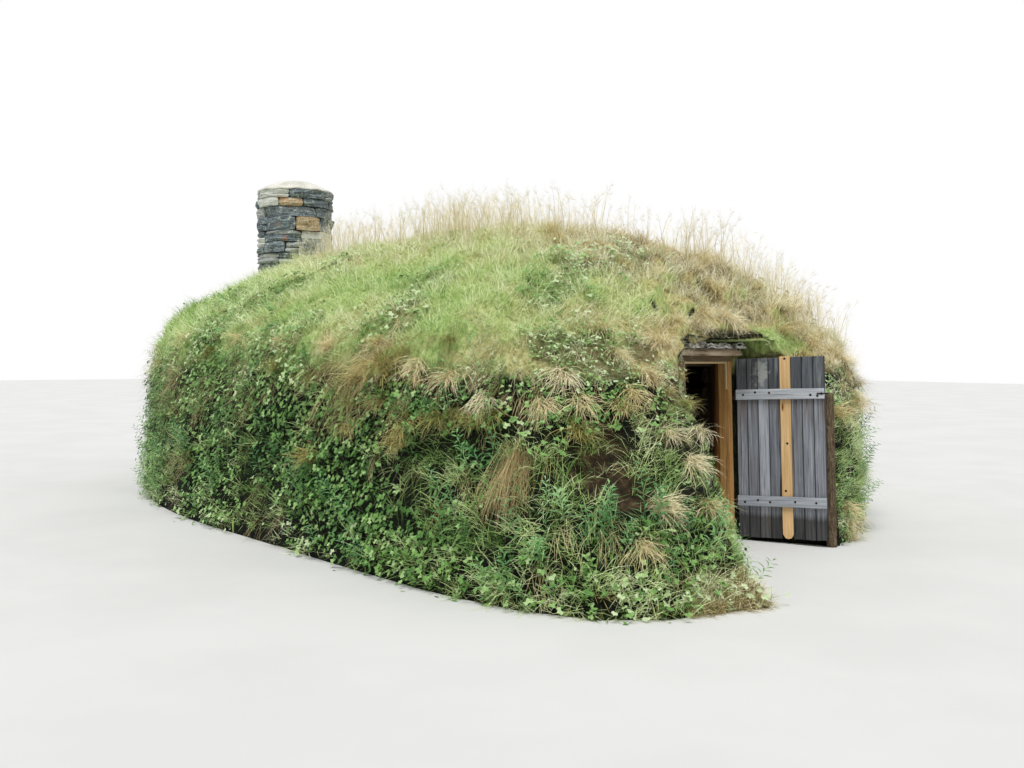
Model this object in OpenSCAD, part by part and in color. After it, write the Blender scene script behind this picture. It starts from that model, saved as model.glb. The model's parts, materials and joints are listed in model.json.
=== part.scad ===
// Turf house with a log lined room, a plank door and a round stone chimney

/* [Mound] */
// Thickness of the turf beside the log walls, on the ground
side_turf = 1230; // [1100:10:1500]
// Thickness of the turf behind the back wall, on the ground
back_turf = 2030; // [1800:10:2400]
// Height of the turf along the ridge
ridge_height = 2960; // [2900:10:3100]
// Height where the steep turf walls turn into the roof
shoulder_height = 1500; // [1400:10:1550]
// How far the left bank reaches out in front of the door
left_bank_reach = 1850; // [1500:10:2100]
// How far the right bank reaches out in front of the door
right_bank_reach = 850; // [820:10:950]
// How far the side walls lean in at the shoulder
side_batter = 140; // [60:5:220]
// How far the left bank slopes back at the shoulder
left_bank_slope = 1200; // [900:10:1300]
// How far the right bank slopes back at the shoulder
right_bank_slope = 400; // [350:10:500]
// Half the width of the flat crest on the ridge
crest_half = 350; // [200:10:500]
// Depth of the soft lumps in the turf
lump = 35; // [0:5:50]
// Height of the largest grass tussocks on the roof
tussock_h = 140; // [0:10:160]

/* [Room] */
// Clear width of the room between the log walls
room_width = 3400; // [3000:20:3500]
// Clear length of the room between the end walls
room_length = 6280; // [5900:20:6400]
// Diameter of a wall log
log_d = 170; // [150:2:180]
// Logs stacked in each side wall
wall_courses = 9; // [8:1:9]
// Pitch of the roof poles
roof_pitch = 23.5; // [22:0.1:24]
// Pitch of the roof's hipped front end
hip_pitch = 30; // [29:0.1:32]
// Diameter of a roof pole
pole_d = 110; // [90:2:120]
// Diameter of the ridge log
ridge_log_d = 190; // [160:2:220]
// Diameter of a purlin
purlin_d = 150; // [120:2:170]
// Diameter of a hip rafter
rafter_d = 120; // [100:2:130]
// Diameter of a post under the ridge log
ridge_post_d = 160; // [120:2:200]
// Thickness of the birch bark on the poles
bark_t = 20; // [12:1:25]

/* [Door] */
// Middle of the door, measured from the middle of the mound
door_x = -66; // [-100:1:-40]
// Clear width between the door posts
opening_w = 574; // [520:1:600]
// Height of the underside of the door head
opening_h = 1575; // [1540:1:1590]
// Backward lean of the door frame
frame_lean = 2.3; // [0:0.1:3]
// Width of a door post
post_w = 55; // [45:1:65]
// Depth of a door post
post_d = 108; // [90:1:120]
// Height of the door head
head_h = 50; // [40:1:60]
// Height of the sill
sill_h = 60; // [50:1:90]
// Depth of the doorway from the frame's face to the log wall
passage_d = 200; // [195:1:240]
// How far the log ends stand back from the doorway's sides
log_setback = 25; // [0:1:40]
// Width of the leaf
leaf_w = 770; // [740:1:780]
// Height of the leaf
leaf_h = 1570; // [1540:1:1580]
// Gap under the leaf
leaf_gap = 28; // [20:1:45]
// Thickness of the leaf's planks
plank_t = 30; // [22:1:34]
// Planks in the leaf
plank_count = 8; // [7:1:9]
// Thickness of a ledge across the planks
ledge_t = 28; // [20:1:32]
// Height of a ledge
ledge_h = 92; // [80:1:130]
// Height of the middle of the upper ledge
upper_ledge_z = 1280; // [1250:1:1330]
// Height of the middle of the lower ledge
lower_ledge_z = 350; // [280:1:360]
// How far the door stands open at rest
open_angle = 109.5; // [95:0.5:110]
// Clearance between moving and fixed pieces
clearance = 5; // [5:0.5:6]
// Diameter of a hinge pin
pin_d = 9; // [8:0.5:10]
// Height of the stay post behind the open leaf
stay_h = 1280; // [1200:10:1450]
// Diameter of the stay post
stay_d = 90; // [80:1:100]

/* [Chimney] */
// Middle of the chimney, measured from the middle of the mound
chimney_x = -100; // [-150:5:50]
// Outside diameter of the chimney
chimney_d = 1060; // [1000:10:1100]
// Height of the chimney's top
chimney_h = 4080; // [3900:10:4300]
// Diameter of the flue
flue_d = 360; // [300:10:400]
// Width of the hearth's mouth
hearth_w = 520; // [460:10:560]
// Height of the hearth's mouth
hearth_h = 700; // [600:10:760]
// Height of the domed mortar cap
cap_h = 110; // [80:5:150]

/* [Hidden] */

// Seat between two pieces that rest on each other
seat = 0.3;
// Radial play of a hinge pin in its eye
pin_play = 0.06;
// Larger than anything here, for cutting
far = 20000;

// Widest place of the turf, measured back from the door
widest_back = 3400;
mound_width = room_width + 2 * (log_d + side_turf);
mound_length = left_bank_reach + passage_d + room_length + 2 * log_d + back_turf;
half_w = mound_width / 2;
door_y = left_bank_reach - mound_length / 2;
back_y = mound_length / 2;
mid_y = door_y + widest_back;
room_half = room_width / 2;
wall_y = door_y + passage_d;
room_front = wall_y + log_d;
room_back = room_front + room_length;
back_wall_y = room_back + log_d;
eave_z = wall_courses * log_d;

// The side slopes lie on the top wall logs and meet over the ridge log
log_r = log_d / 2;
eave_x = room_half + log_r + log_r * sin(roof_pitch);
apex_z = eave_z - log_r + log_r * cos(roof_pitch) + eave_x * tan(roof_pitch) + seat;
wall_out = room_half + log_d;
cover_t = pole_d + bark_t + 2 * seat;
pole_gap = 6;
pole_step = pole_d + pole_gap;

// The hipped front slope lies on the front plate and meets them along the hips
plate_front_h = 60;
hip_z = eave_z + plate_front_h;
hip_y = wall_y + (apex_z - hip_z) / tan(hip_pitch);
hip_turn = tan(roof_pitch) / tan(hip_pitch);
rafter_r = rafter_d / 2;
rafter_over = 200;
slopes_dot = cos(roof_pitch) * cos(hip_pitch);
rafter_drop = (rafter_r + seat) / (1 + slopes_dot);

// Door: the closed leaf stands off the posts by its ledges and a clearance
opening_left = door_x - opening_w / 2;
opening_right = door_x + opening_w / 2;
frame_left = opening_left - post_w;
frame_right = opening_right + post_w;
knuckle_r = 8;
knuckle_gap = 2;
hinge_x = frame_right + knuckle_r + knuckle_gap;
hinge_y = -20;
edge_gap = 12;
pitch_of_planks = leaf_w / plank_count;
plank_gap = 1.5;
new_index = floor(plank_count / 2) - 1;
strap_t = 4;
strap_w = 40;
strap_l = 420;
bar_h = 26;
bar_t = 6;
bar_l = 95;
pin_over = 10;
sill_out = 10;
new_plank_over = 6;
head_top = opening_h + head_h;
lintel_d = 150;
lintel_h = 62;
lintel_back = 20;
half_log_d = 125;
lintel_z = (head_top + seat) * cos(frame_lean);
lintel_left = frame_left - 30;
lintel_right = frame_right + 100;
bark_z = lintel_z + lintel_h + seat;
bark_h = 70;
bark_top = bark_z + bark_h;

// Stop strips in the opening: over it, down its left side and a short one on its right
stop_y = 5;
stop_t = 20;
top_stop_h = 18;
left_stop_w = 12;
left_stop_low = 500;
right_stop_w = 16;
right_stop_low = 1330;

// Three sheets of bark over the lintel, each lying on the crumples of the one below
bark_steps = 24;
sheet_t = 7;
crumple_h = 10;
ripple_h = 7;
bark_out = [30, 45, -15];
function crumple(i) = crumple_h * (1 + sin(i * 90));
function ripple(i) = ripple_h * (1 + sin(i * 45));
function sheet_x(i) = lintel_left + (lintel_right - lintel_left) * i / bark_steps;
lower_sheet = [for (i = [0:bark_steps]) [sheet_x(i), bark_z + crumple(i)]];
middle_sheet = [for (i = [0:bark_steps]) lower_sheet[i] + [0, sheet_t + seat + ripple(i)]];
upper_sheet = [for (i = [0:bark_steps]) middle_sheet[i] + [0, sheet_t + seat]];

// The open leaf rests by a stay post, and its hook sweeps clear of the left bank
hook_reach = 40;
hook_l = 60;
hook_w = 12;
hook_t = 4;
leaf_face = clearance + ledge_t + hinge_y;
leaf_reach = hinge_x - edge_gap - leaf_w - hook_reach - clearance;
stay_x = 640;
stay_y = -735;
stay_over = 200;

// The way up to the door: plan of its sides at the ground and at half the lintel's height
way_top = lintel_z + lintel_h / 2;
lean_at_top = way_top * tan(frame_lean);
leaf_pocket = 60;
pocket_x = leaf_reach - 40;
hinge_side = hinge_x + 60;
bank_back = 5;
way_left_low = [[-620, -800], [-1430, -1600], [-1700, -3000]];
way_left_high = [[-1200, -800], [-2200, -1500], [-2500, -3000]];
way_right_low = [[1600, -3000], [1000, -1300], [stay_x + 20, stay_y + 15]];
way_right_high = [[2000, -3000], [1300, -1300], [stay_x + 75, stay_y + 60]];

chimney_r = chimney_d / 2;
chimney_y = back_wall_y + chimney_r + seat;
mantel_h = 400;
hearth_back = 220;
breast_side = 170;
hearth_top = hearth_h + mantel_h;
breast_half = hearth_w / 2 + breast_side;
shaft_under_ridge = 460;
shaft_top = ridge_height - shaft_under_ridge;
course_h = 95;
root_courses = 3;
step_in = 10;
stack_out = 20;
stack_r = chimney_r + stack_out;
sector_count = 8;
cap_edge = 20;
cap_in = 30;
lip_w = 50;
lip_drop = 30;

ridge_log_z = apex_z - (ridge_log_d / 2 + seat) / cos(roof_pitch);
purlin_x = eave_x / 2;

// The ridge log starts where its top meets the front slope
ridge_front_y = hip_y - (apex_z - ridge_log_z - ridge_log_d / 2 - seat) / tan(hip_pitch);
ridge_post_in = 350;
ridge_post_share = 0.55;
gable_courses = 4;
gable_gap = 5;

// Turf: shapes of the corners in plan, and runs of the roof ends
back_round = 2.1;
left_corner = 6.5;
left_top = 3;
right_corner = 3.6;
right_toe = 2.4;
back_batter = 100;
back_run = 1900;
left_front_run = 2900;
right_front_run = 2300;
meet_from = 258;
meet_run = 16;

// Turf outline at one height: a rounded oblong whose four quarters differ
ring_points = 72;
wall_steps = 4;
roof_steps = 8;
last = wall_steps + roof_steps;
levels = [for (i = [0:wall_steps]) shoulder_height * i / wall_steps,
          for (i = [1:roof_steps]) shoulder_height + (ridge_height - shoulder_height) * i / roof_steps];

function rise(z) = max(0, (z - shoulder_height) / (ridge_height - shoulder_height));
function wall(z) = min(1, z / shoulder_height);
function smooth(k) = k * k * (3 - 2 * k);
function mix(a, b, k) = a + (b - a) * k;
function unit(v) = min(1, max(0, v));
function end_curve(z) = 0.55 * rise(z) + 0.45 * pow(rise(z), 4);

// How far the outline at height z lies inside the outline on the ground
function side_inset(z) = side_batter * wall(z) + (half_w - side_batter - crest_half) * pow(rise(z), 2);
function back_inset(z) = back_batter * wall(z) + back_run * pow(rise(z), 2);
function left_front(z) =
  door_y - left_bank_reach + left_bank_slope * wall(z) + left_front_run * end_curve(z);
function right_front(z) =
  door_y - right_bank_reach + right_bank_slope * wall(z) + right_front_run * end_curve(z);

// The banks meet over the door, between these bearings from the middle
function front_at(z, a) = mix(left_front(z), right_front(z), smooth(unit((a - meet_from) / meet_run)));
function right_square(z) = mix(mix(right_toe, right_corner, wall(z)), right_toe, rise(z));
function left_square(z) = mix(left_corner, left_top, rise(z));
function squareness(z, a) = a < 180 ? back_round : (a < 270 ? left_square(z) : right_square(z));
function lumps(a, z) = lump * wall(z) * (sin(5 * a + z / 9) + sin(9 * a - z / 6)) / 2;

function ring_point(z, a) =
  let (c = cos(a), s = sin(a), n = squareness(z, a))
  let (w = half_w - side_inset(z))
  let (reach = s < 0 ? mid_y - front_at(z, a) : back_y - back_inset(z) - mid_y)
  let (r = pow(pow(abs(c) / w, n) + pow(abs(s) / reach, n), -1 / n) + lumps(a, z))
  [r * c, mid_y + r * s, z];

// Grass tussocks: every second point of the roof's outlines stands up, each by another height
tussock_least = 0.5;
tussock_turn = 97;
tussock_shift = 53;
function stands(l, i) = l > wall_steps && l < last && (l + i) % 2 == 0;
function tussock(l, i) = stands(l, i)
  ? tussock_h * mix(tussock_least, 1, abs(sin(tussock_turn * i + tussock_shift * l)))
  : 0;

module mound() {
  n = ring_points;
  points = [for (l = [0:last], i = [0:n - 1]) ring_point(levels[l], i * 360 / n) + [0, 0, tussock(l, i)]];
  sides = [for (l = [0:last - 1], i = [0:n - 1]) each [
    [l * n + i, (l + 1) * n + i, (l + 1) * n + (i + 1) % n],
    [l * n + i, (l + 1) * n + (i + 1) % n, l * n + (i + 1) % n]]];
  bottom = [for (i = [0:n - 1]) i];
  top = [for (i = [n - 1:-1:0]) last * n + i];
  polyhedron(points = points, faces = concat(sides, [bottom, top]), convexity = 6);
}

// A box between two corners
module block(low, high) {
  translate(low) cube(high - low);
}

// Turf of the mound inside a box
module turf(low, high) {
  color("olivedrab") intersection() {
    mound();
    block(low, high);
  }
}

// The space under a pair of side slopes that meet at the height top
module under_sides(top, reach) {
  low = top - reach * tan(roof_pitch);
  translate([0, back_wall_y + 1, 0]) rotate([90, 0, 0]) linear_extrude(back_wall_y - wall_y + 2)
    polygon([[-reach, 0], [reach, 0], [reach, low], [0, top], [-reach, low]]);
}

// The space under a front slope whose foot on the wall face is at the height low
module under_front(low) {
  run = back_wall_y - wall_y + 2;
  translate([-far / 2, wall_y - 1, 0]) rotate([90, 0, 90]) linear_extrude(far)
    polygon([[0, 0], [run, 0], [run, low + (run - 1) * tan(hip_pitch)], [0, low - tan(hip_pitch)]]);
}

// All that lies under the roof cover, cut out of the turf
module roof_space() {
  intersection() {
    under_sides(apex_z + cover_t / cos(roof_pitch), wall_out);
    under_front(hip_z + cover_t / cos(hip_pitch));
  }
}

// Plan of one side slope, kept back from the hip by the distance back
function side_plan(back) =
  let (shift = back * sqrt(1 + hip_turn * hip_turn), x_hip = (hip_y + shift - wall_y) / hip_turn)
  [[seat / 2, hip_y + shift - hip_turn * seat / 2], [x_hip, wall_y], [wall_out, wall_y],
   [wall_out, back_wall_y], [seat / 2, back_wall_y]];

module over_side(back) {
  linear_extrude(far) polygon(side_plan(back));
}

module over_front() {
  x_hip = (hip_y - seat - wall_y) / hip_turn;
  linear_extrude(far) polygon([[-x_hip, wall_y], [x_hip, wall_y], [0, hip_y - seat]]);
}

// The way up to the door, cut through the front banks with leaning sides
module approach() {
  left = frame_left - seat;
  right = frame_right + seat;
  back = passage_d + 1;
  low = concat([[left, back], [left, 0], [leaf_reach, 0], [leaf_reach, -leaf_pocket]],
    way_left_low, way_right_low, [[hinge_side, 0], [right, bank_back], [right, back]]);
  high = concat([[left, back], [left, lean_at_top], [pocket_x, lean_at_top], [pocket_x, -leaf_pocket]],
    way_left_high, way_right_high,
    [[hinge_side, lean_at_top], [right, lean_at_top + bank_back], [right, back]]);
  n = len(low);
  points = concat([for (p = low) [p.x, p.y + door_y, -1]],
                  [for (p = high) [p.x, p.y + door_y, way_top]]);
  sides = [for (i = [0:n - 1]) each [[i, n + i, n + (i + 1) % n], [i, n + (i + 1) % n, (i + 1) % n]]];
  polyhedron(points = points, convexity = 8,
    faces = concat(sides, [[for (i = [0:n - 1]) i], [for (i = [n - 1:-1:0]) n + i]]));
}

// The end of the way under the roof turf, which hangs over it
module approach_end() {
  plan = concat([[frame_left, lean_at_top], [pocket_x, lean_at_top], [pocket_x, -leaf_pocket]],
    way_left_high, way_right_high, [[hinge_side, lean_at_top], [frame_right, lean_at_top]]);
  translate([0, door_y, 0]) linear_extrude(way_top) polygon(plan);
}

// The slot in the turf that the lintel and its bark lie in
module lintel_slot() {
  block([frame_left - seat, door_y - far, -1], [frame_right + seat, wall_y + 1, bark_top + seat]);
  block([lintel_left - seat, door_y - far, lintel_z - seat],
        [lintel_right + seat, wall_y + 1, bark_top + seat]);
}

module stack_hole() {
  translate([chimney_x, chimney_y, shaft_top]) cylinder(r = stack_r + seat, h = far, $fn = 64);
}

// The room that the chimney takes up in the turf
module chimney_hole() {
  translate([chimney_x, chimney_y, -1]) cylinder(r = chimney_r + seat, h = far, $fn = 64);
  stack_hole();
  block([chimney_x - breast_half - seat, back_wall_y - 1, -1],
        [chimney_x + breast_half + seat, chimney_y, hearth_top]);
}

module left_wall_turf() {
  turf([-far, wall_y, 0], [-room_half - log_d - seat, back_wall_y, eave_z]);
}

module right_wall_turf() {
  turf([room_half + log_d + seat, wall_y, 0], [far, back_wall_y, eave_z]);
}

module back_wall_turf(low_x, high_x) {
  difference() {
    turf([low_x, back_wall_y + seat, 0], [high_x, far, eave_z]);
    chimney_hole();
  }
}

module back_wall_turf_left() back_wall_turf(-far, chimney_x);

module back_wall_turf_right() back_wall_turf(chimney_x, far);

module front_bank(low_x, high_x) {
  difference() {
    turf([low_x, -far, 0], [high_x, wall_y - seat, eave_z]);
    approach();
  }
}

module front_bank_left() front_bank(-far, door_x);

module front_bank_right() {
  difference() {
    front_bank(door_x, far);
    stay_round(stay_d + 2 * seat, far);
    leaning() for (z = [upper_ledge_z, lower_ledge_z]) pintle_bar(z, seat);
  }
}

module front_roof_turf() {
  difference() {
    turf([-far, -far, eave_z], [far, wall_y - seat, far]);
    lintel_slot();
    approach_end();
  }
}

module roof_turf(low_x, high_x) {
  difference() {
    turf([low_x, wall_y, eave_z], [high_x, back_wall_y, far]);
    roof_space();
    stack_hole();
  }
}

module roof_turf_left() roof_turf(-far, 0);

module roof_turf_right() roof_turf(0, far);

module back_roof_turf(low_x, high_x) {
  difference() {
    turf([low_x, back_wall_y + seat, eave_z], [high_x, far, far]);
    chimney_hole();
  }
}

module back_roof_turf_left() back_roof_turf(-far, chimney_x);

module back_roof_turf_right() back_roof_turf(chimney_x, far);

// A round log lying along X or Y
module log_x(x0, x1, y, z, d = log_d) {
  translate([x0, y, z]) rotate([0, 90, 0]) cylinder(d = d, h = x1 - x0, $fn = 32);
}

module log_y(y0, y1, x, z, d = log_d) {
  translate([x, y0, z]) rotate([-90, 0, 0]) cylinder(d = d, h = y1 - y0, $fn = 32);
}

function course_z(i) = log_r + i * log_d;

module side_logs(x) {
  color("peru") for (i = [0:wall_courses - 1])
    log_y(wall_y, back_wall_y, x, course_z(i), log_d - seat);
}

module left_wall_logs() side_logs(-room_half - log_r);

module right_wall_logs() side_logs(room_half + log_r);

module end_logs(x0, x1, y) {
  color("peru") for (i = [0:wall_courses - 1]) log_x(x0, x1, y, course_z(i), log_d - seat);
}

module back_wall_logs_left() {
  end_logs(-room_half + seat, chimney_x - hearth_w / 2, back_wall_y - log_r);
}

module back_wall_logs_right() {
  end_logs(chimney_x + hearth_w / 2, room_half - seat, back_wall_y - log_r);
}

module front_wall_logs_left() {
  end_logs(-room_half + seat, opening_left - log_setback, wall_y + log_r);
}

module front_wall_logs_right() {
  end_logs(opening_right + log_setback, room_half - seat, wall_y + log_r);
}

// Beam over the front wall and its doorway, bevelled to the front slope
module front_plate() {
  color("peru") intersection() {
    block([-room_half + seat, wall_y, eave_z + seat], [room_half - seat, wall_y + log_d, apex_z]);
    under_front(hip_z - seat);
    under_sides(apex_z - seat, wall_out);
  }
}

// Logs of the back gable, each as long as the roof leaves room for
module back_gable_logs() {
  color("peru") difference() {
    for (i = [wall_courses:wall_courses + gable_courses]) {
      reach = (apex_z - (i + 1) * log_d) / tan(roof_pitch) - gable_gap;
      if (reach > log_d) log_x(-reach, reach, back_wall_y - log_r, course_z(i), log_d - seat);
    }
    purlin_pair(purlin_d + 2 * seat, wall_y);
    ridge_beam(ridge_log_d + 2 * seat);
  }
}

module ridge_beam(d) {
  log_y(ridge_front_y, back_wall_y, 0, ridge_log_z, d);
}

module ridge_log() {
  color("peru") ridge_beam(ridge_log_d);
}

module ridge_posts() {
  color("peru") for (y = [ridge_front_y + ridge_post_in, mix(ridge_front_y, room_back, ridge_post_share)])
    translate([0, y, 0]) cylinder(d = ridge_post_d, h = ridge_log_z - ridge_log_d / 2 - seat, $fn = 32);
}

// Round rafter under a hip, from the front plate up to the end of the ridge log
module hip_rafter() {
  sink = [-rafter_drop * sin(roof_pitch), rafter_drop * sin(hip_pitch),
          -rafter_drop * (cos(roof_pitch) + cos(hip_pitch))];
  foot = [(hip_y - wall_y) / hip_turn, wall_y, hip_z] + sink;
  head = [0, hip_y, apex_z] + sink;
  run = head - foot;
  intersection() {
    translate(foot) rotate([0, acos(run.z / norm(run)), atan2(run.y, run.x)])
      translate([0, 0, -rafter_over]) cylinder(d = rafter_d, h = norm(run) + 2 * rafter_over, $fn = 32);
    block([seat / 2, wall_y + log_d + seat, 0], [far, ridge_front_y - seat, far]);
  }
}

module hip_rafters() {
  color("peru") for (side = [0, 1]) mirror([side, 0, 0]) hip_rafter();
}

module purlin_pair(d, y0) {
  lift = (purlin_d / 2 + seat) / cos(roof_pitch);
  for (side = [-1, 1])
    log_y(y0, back_wall_y, side * purlin_x, apex_z - purlin_x * tan(roof_pitch) - lift, d);
}

// The purlins end in a mitre against the hip rafters
module purlins() {
  side_shift = rafter_drop * (hip_turn * sin(roof_pitch) - sin(hip_pitch)) / sqrt(1 + hip_turn * hip_turn);
  color("peru") intersection() {
    purlin_pair(purlin_d, wall_y);
    for (side = [0, 1]) mirror([side, 0, 0]) over_side(rafter_r + seat - side_shift);
  }
}

// Local frame of the right slope: X runs down it, Y along the house, Z stands out of it
module side_slope() {
  translate([0, wall_y, apex_z]) rotate([0, roof_pitch, 0]) children();
}

module side_poles() {
  run = back_wall_y - wall_y;
  count = floor((run + pole_gap) / pole_step);
  start = (run + pole_gap - count * pole_step) / 2;
  intersection() {
    side_slope() for (i = [0:count - 1])
      translate([-pole_d, start + pole_step * i + pole_d / 2, pole_d / 2])
        rotate([0, 90, 0]) cylinder(d = pole_d, h = wall_out / cos(roof_pitch) + 2 * pole_d, $fn = 24);
    over_side(seat / 2);
  }
}

module side_bark() {
  intersection() {
    side_slope() translate([-pole_d, 0, pole_d + seat])
      cube([wall_out / cos(roof_pitch) + 2 * pole_d, back_wall_y - wall_y, bark_t]);
    over_side(seat / 2);
  }
}

module roof_poles_left() {
  color("peru") mirror([1, 0, 0]) side_poles();
}

module roof_poles_right() {
  color("peru") side_poles();
}

module roof_bark_left() {
  color("wheat") mirror([1, 0, 0]) side_bark();
}

module roof_bark_right() {
  color("wheat") side_bark();
}

// Local frame of the front slope: X runs across, Y up the slope, Z stands out of it
module front_slope() {
  translate([0, wall_y, hip_z]) rotate([hip_pitch, 0, 0]) children();
}

module roof_poles_front() {
  half_count = floor((hip_y - wall_y) / hip_turn / pole_step) - 1;
  color("peru") intersection() {
    front_slope() for (i = [-half_count:half_count])
      translate([pole_step * i, -pole_d, pole_d / 2]) rotate([-90, 0, 0])
        cylinder(d = pole_d, h = (hip_y - wall_y) / cos(hip_pitch) + 2 * pole_d, $fn = 24);
    over_front();
  }
}

module roof_bark_front() {
  color("wheat") intersection() {
    front_slope() translate([-wall_out, -pole_d, pole_d + seat])
      cube([2 * wall_out, (hip_y - wall_y) / cos(hip_pitch) + 2 * pole_d, bark_t]);
    over_front();
    under_sides(apex_z + (cover_t - seat) / cos(roof_pitch), wall_out);
  }
}

// Frame of the door, leaning back about the foot of its face
module leaning() {
  translate([0, door_y, 0]) rotate([-frame_lean, 0, 0]) children();
}

module door_sill() {
  color("saddlebrown") block([frame_left, door_y - sill_out, 0], [frame_right, wall_y - seat, sill_h]);
}

module door_post(x) {
  color("sienna") difference() {
    leaning() block([x, 0, 0], [x + post_w, post_d, opening_h]);
    block([-far, -far, -far], [far, far, sill_h + seat]);
  }
}

module door_post_left() door_post(frame_left);

module door_post_right() door_post(opening_right);

module door_head() {
  color("saddlebrown") leaning()
    block([frame_left, 0, opening_h + seat], [frame_right, post_d, head_top]);
}

module stop_strip(x0, x1, low) {
  block([x0, stop_y, low], [x1, stop_y + stop_t, opening_h - seat]);
}

module stop_battens() {
  left = opening_left + left_stop_w;
  right = opening_right - right_stop_w;
  color("burlywood") leaning() {
    stop_strip(left + seat, right - seat, opening_h - top_stop_h);
    stop_strip(opening_left + seat, left, left_stop_low);
    stop_strip(right, opening_right - seat, right_stop_low);
  }
}

// Board between a post and the log wall, its front edge leaning with the post
module reveal_board(x) {
  low = sill_h + seat;
  top = lintel_z - seat;
  front_low = post_d / cos(frame_lean) + low * tan(frame_lean) + seat;
  front_top = post_d / cos(frame_lean) + top * tan(frame_lean) + seat;
  color("chocolate") translate([x, door_y, 0]) rotate([90, 0, 90]) linear_extrude(post_w)
    polygon([[front_low, low], [passage_d - seat, low], [passage_d - seat, top], [front_top, top]]);
}

module reveal_board_left() reveal_board(frame_left);

module reveal_board_right() reveal_board(opening_right);

// A half log over the frame's face, and a thick board behind it
module lintel_logs() {
  front = door_y + lintel_back;
  behind = front + half_log_d;
  top = lintel_z + lintel_h;
  color("tan") {
    intersection() {
      block([lintel_left, front, lintel_z], [lintel_right, behind, top]);
      log_x(-far, far, front + half_log_d / 2, top - lintel_d / 2, lintel_d);
    }
    block([lintel_left, behind + seat, lintel_z], [lintel_right, wall_y - seat, top]);
  }
}

module bark_sheet(under, over, overhang) {
  depth = wall_y - seat - door_y + overhang;
  translate([0, wall_y - seat, 0]) rotate([90, 0, 0]) linear_extrude(depth)
    polygon(concat(under, [for (i = [len(over) - 1:-1:0]) over[i]]));
}

module door_bark() {
  lift = [0, sheet_t];
  color("whitesmoke") {
    bark_sheet(lower_sheet, [for (p = lower_sheet) p + lift], bark_out[0]);
    bark_sheet(middle_sheet, [for (p = middle_sheet) p + lift], bark_out[1]);
    bark_sheet(upper_sheet, [for (p = upper_sheet) [p.x, bark_top]], bark_out[2]);
  }
}

module stay_round(d, h) {
  leaning() translate([stay_x, stay_y, -stay_over]) cylinder(d = d, h = h + stay_over, $fn = 32);
}

module stay_post() {
  color("saddlebrown") difference() {
    stay_round(stay_d, stay_h);
    block([-far, -far, -far], [far, far, 0]);
  }
}

// Leaf frame: origin on the hinge axis, the closed leaf runs to minus X
module hung() {
  leaning() translate([hinge_x, hinge_y, 0]) rotate([0, 0, open_angle]) children();
}

module plank(i, high) {
  x = -edge_gap - leaf_w + pitch_of_planks * i;
  block([x + plank_gap / 2, -leaf_face - plank_t, leaf_gap],
        [x + pitch_of_planks - plank_gap / 2, -leaf_face, high]);
}

module door_planks() {
  color("slategray") hung() for (i = [0:plank_count - 1])
    if (i != new_index) plank(i, leaf_gap + leaf_h);
}

module new_plank() {
  color("peru") hung() plank(new_index, leaf_gap + leaf_h + new_plank_over);
}

module ledge(z) {
  color("gray") hung()
    block([-edge_gap - leaf_w, -leaf_face + seat, z - ledge_h / 2],
          [-edge_gap, -leaf_face + ledge_t, z + ledge_h / 2]);
}

module upper_ledge() ledge(upper_ledge_z);

module lower_ledge() ledge(lower_ledge_z);

module strap(z) {
  y = -leaf_face - plank_t - seat;
  difference() {
    union() {
      block([-edge_gap - strap_l, y - strap_t, z - strap_w / 2], [-edge_gap + strap_t, y, z + strap_w / 2]);
      block([-edge_gap + seat, y - strap_t, z - strap_w / 2], [knuckle_gap - knuckle_r, 0, z + strap_w / 2]);
      translate([0, 0, z - strap_w / 2]) cylinder(r = knuckle_r, h = strap_w, $fn = 32);
    }
    translate([0, 0, z - far / 2]) cylinder(r = pin_d / 2 + pin_play, h = far, $fn = 32);
  }
}

module strap_hinges() {
  color("dimgray") hung() {
    strap(upper_ledge_z);
    strap(lower_ledge_z);
  }
}

function bar_low(z) = z - strap_w / 2 - seat - bar_h;

// The bar that fixes a pintle lies along the outer side of the post
module pintle_bar(z, extra) {
  block([frame_right + seat - extra, 0, bar_low(z) - extra],
        [frame_right + bar_t + extra, bar_l + extra, bar_low(z) + bar_h + extra]);
}

module pintle(z) {
  low = bar_low(z);
  translate([hinge_x, hinge_y, 0]) {
    translate([0, 0, low]) cylinder(r = knuckle_r, h = bar_h, $fn = 32);
    translate([0, 0, low]) cylinder(d = pin_d, h = bar_h + strap_w + pin_over, $fn = 32);
  }
  block([frame_right + seat, hinge_y, low], [frame_right + bar_t, 1, low + bar_h]);
  pintle_bar(z, 0);
}

module hinge_pintles() {
  color("dimgray") leaning() {
    pintle(upper_ledge_z);
    pintle(lower_ledge_z);
  }
}

// Bent iron hook on the upper ledge, reaching past the free edge
module door_hook() {
  free = -edge_gap - leaf_w;
  face = -leaf_face + ledge_t + seat;
  color("dimgray") hung() {
    block([free - hook_reach, face, upper_ledge_z - hook_w / 2],
          [free + hook_l, face + hook_t, upper_ledge_z + hook_w / 2]);
  }
}

module hearth() {
  color("dimgray") difference() {
    union() {
      translate([chimney_x, chimney_y, 0]) cylinder(r = chimney_r, h = hearth_top - seat, $fn = 64);
      block([chimney_x - breast_half, back_wall_y + seat, 0],
            [chimney_x + breast_half, chimney_y, hearth_top - seat]);
    }
    block([chimney_x - hearth_w / 2, back_wall_y - 1, -1],
          [chimney_x + hearth_w / 2, chimney_y + hearth_back, hearth_h]);
    flue();
  }
}

module flue() {
  translate([chimney_x, chimney_y, hearth_h - 1]) cylinder(d = flue_d, h = far, $fn = 32);
}

// Wedges that part a round shell into equal blocks of stone
module joints_of_shell() {
  for (k = [0:sector_count - 1])
    translate([chimney_x, chimney_y, 0]) rotate([0, 0, (k + 0.5) * 360 / sector_count])
      translate([0, -seat / 2, 0]) cube([far, seat, far]);
}

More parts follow.
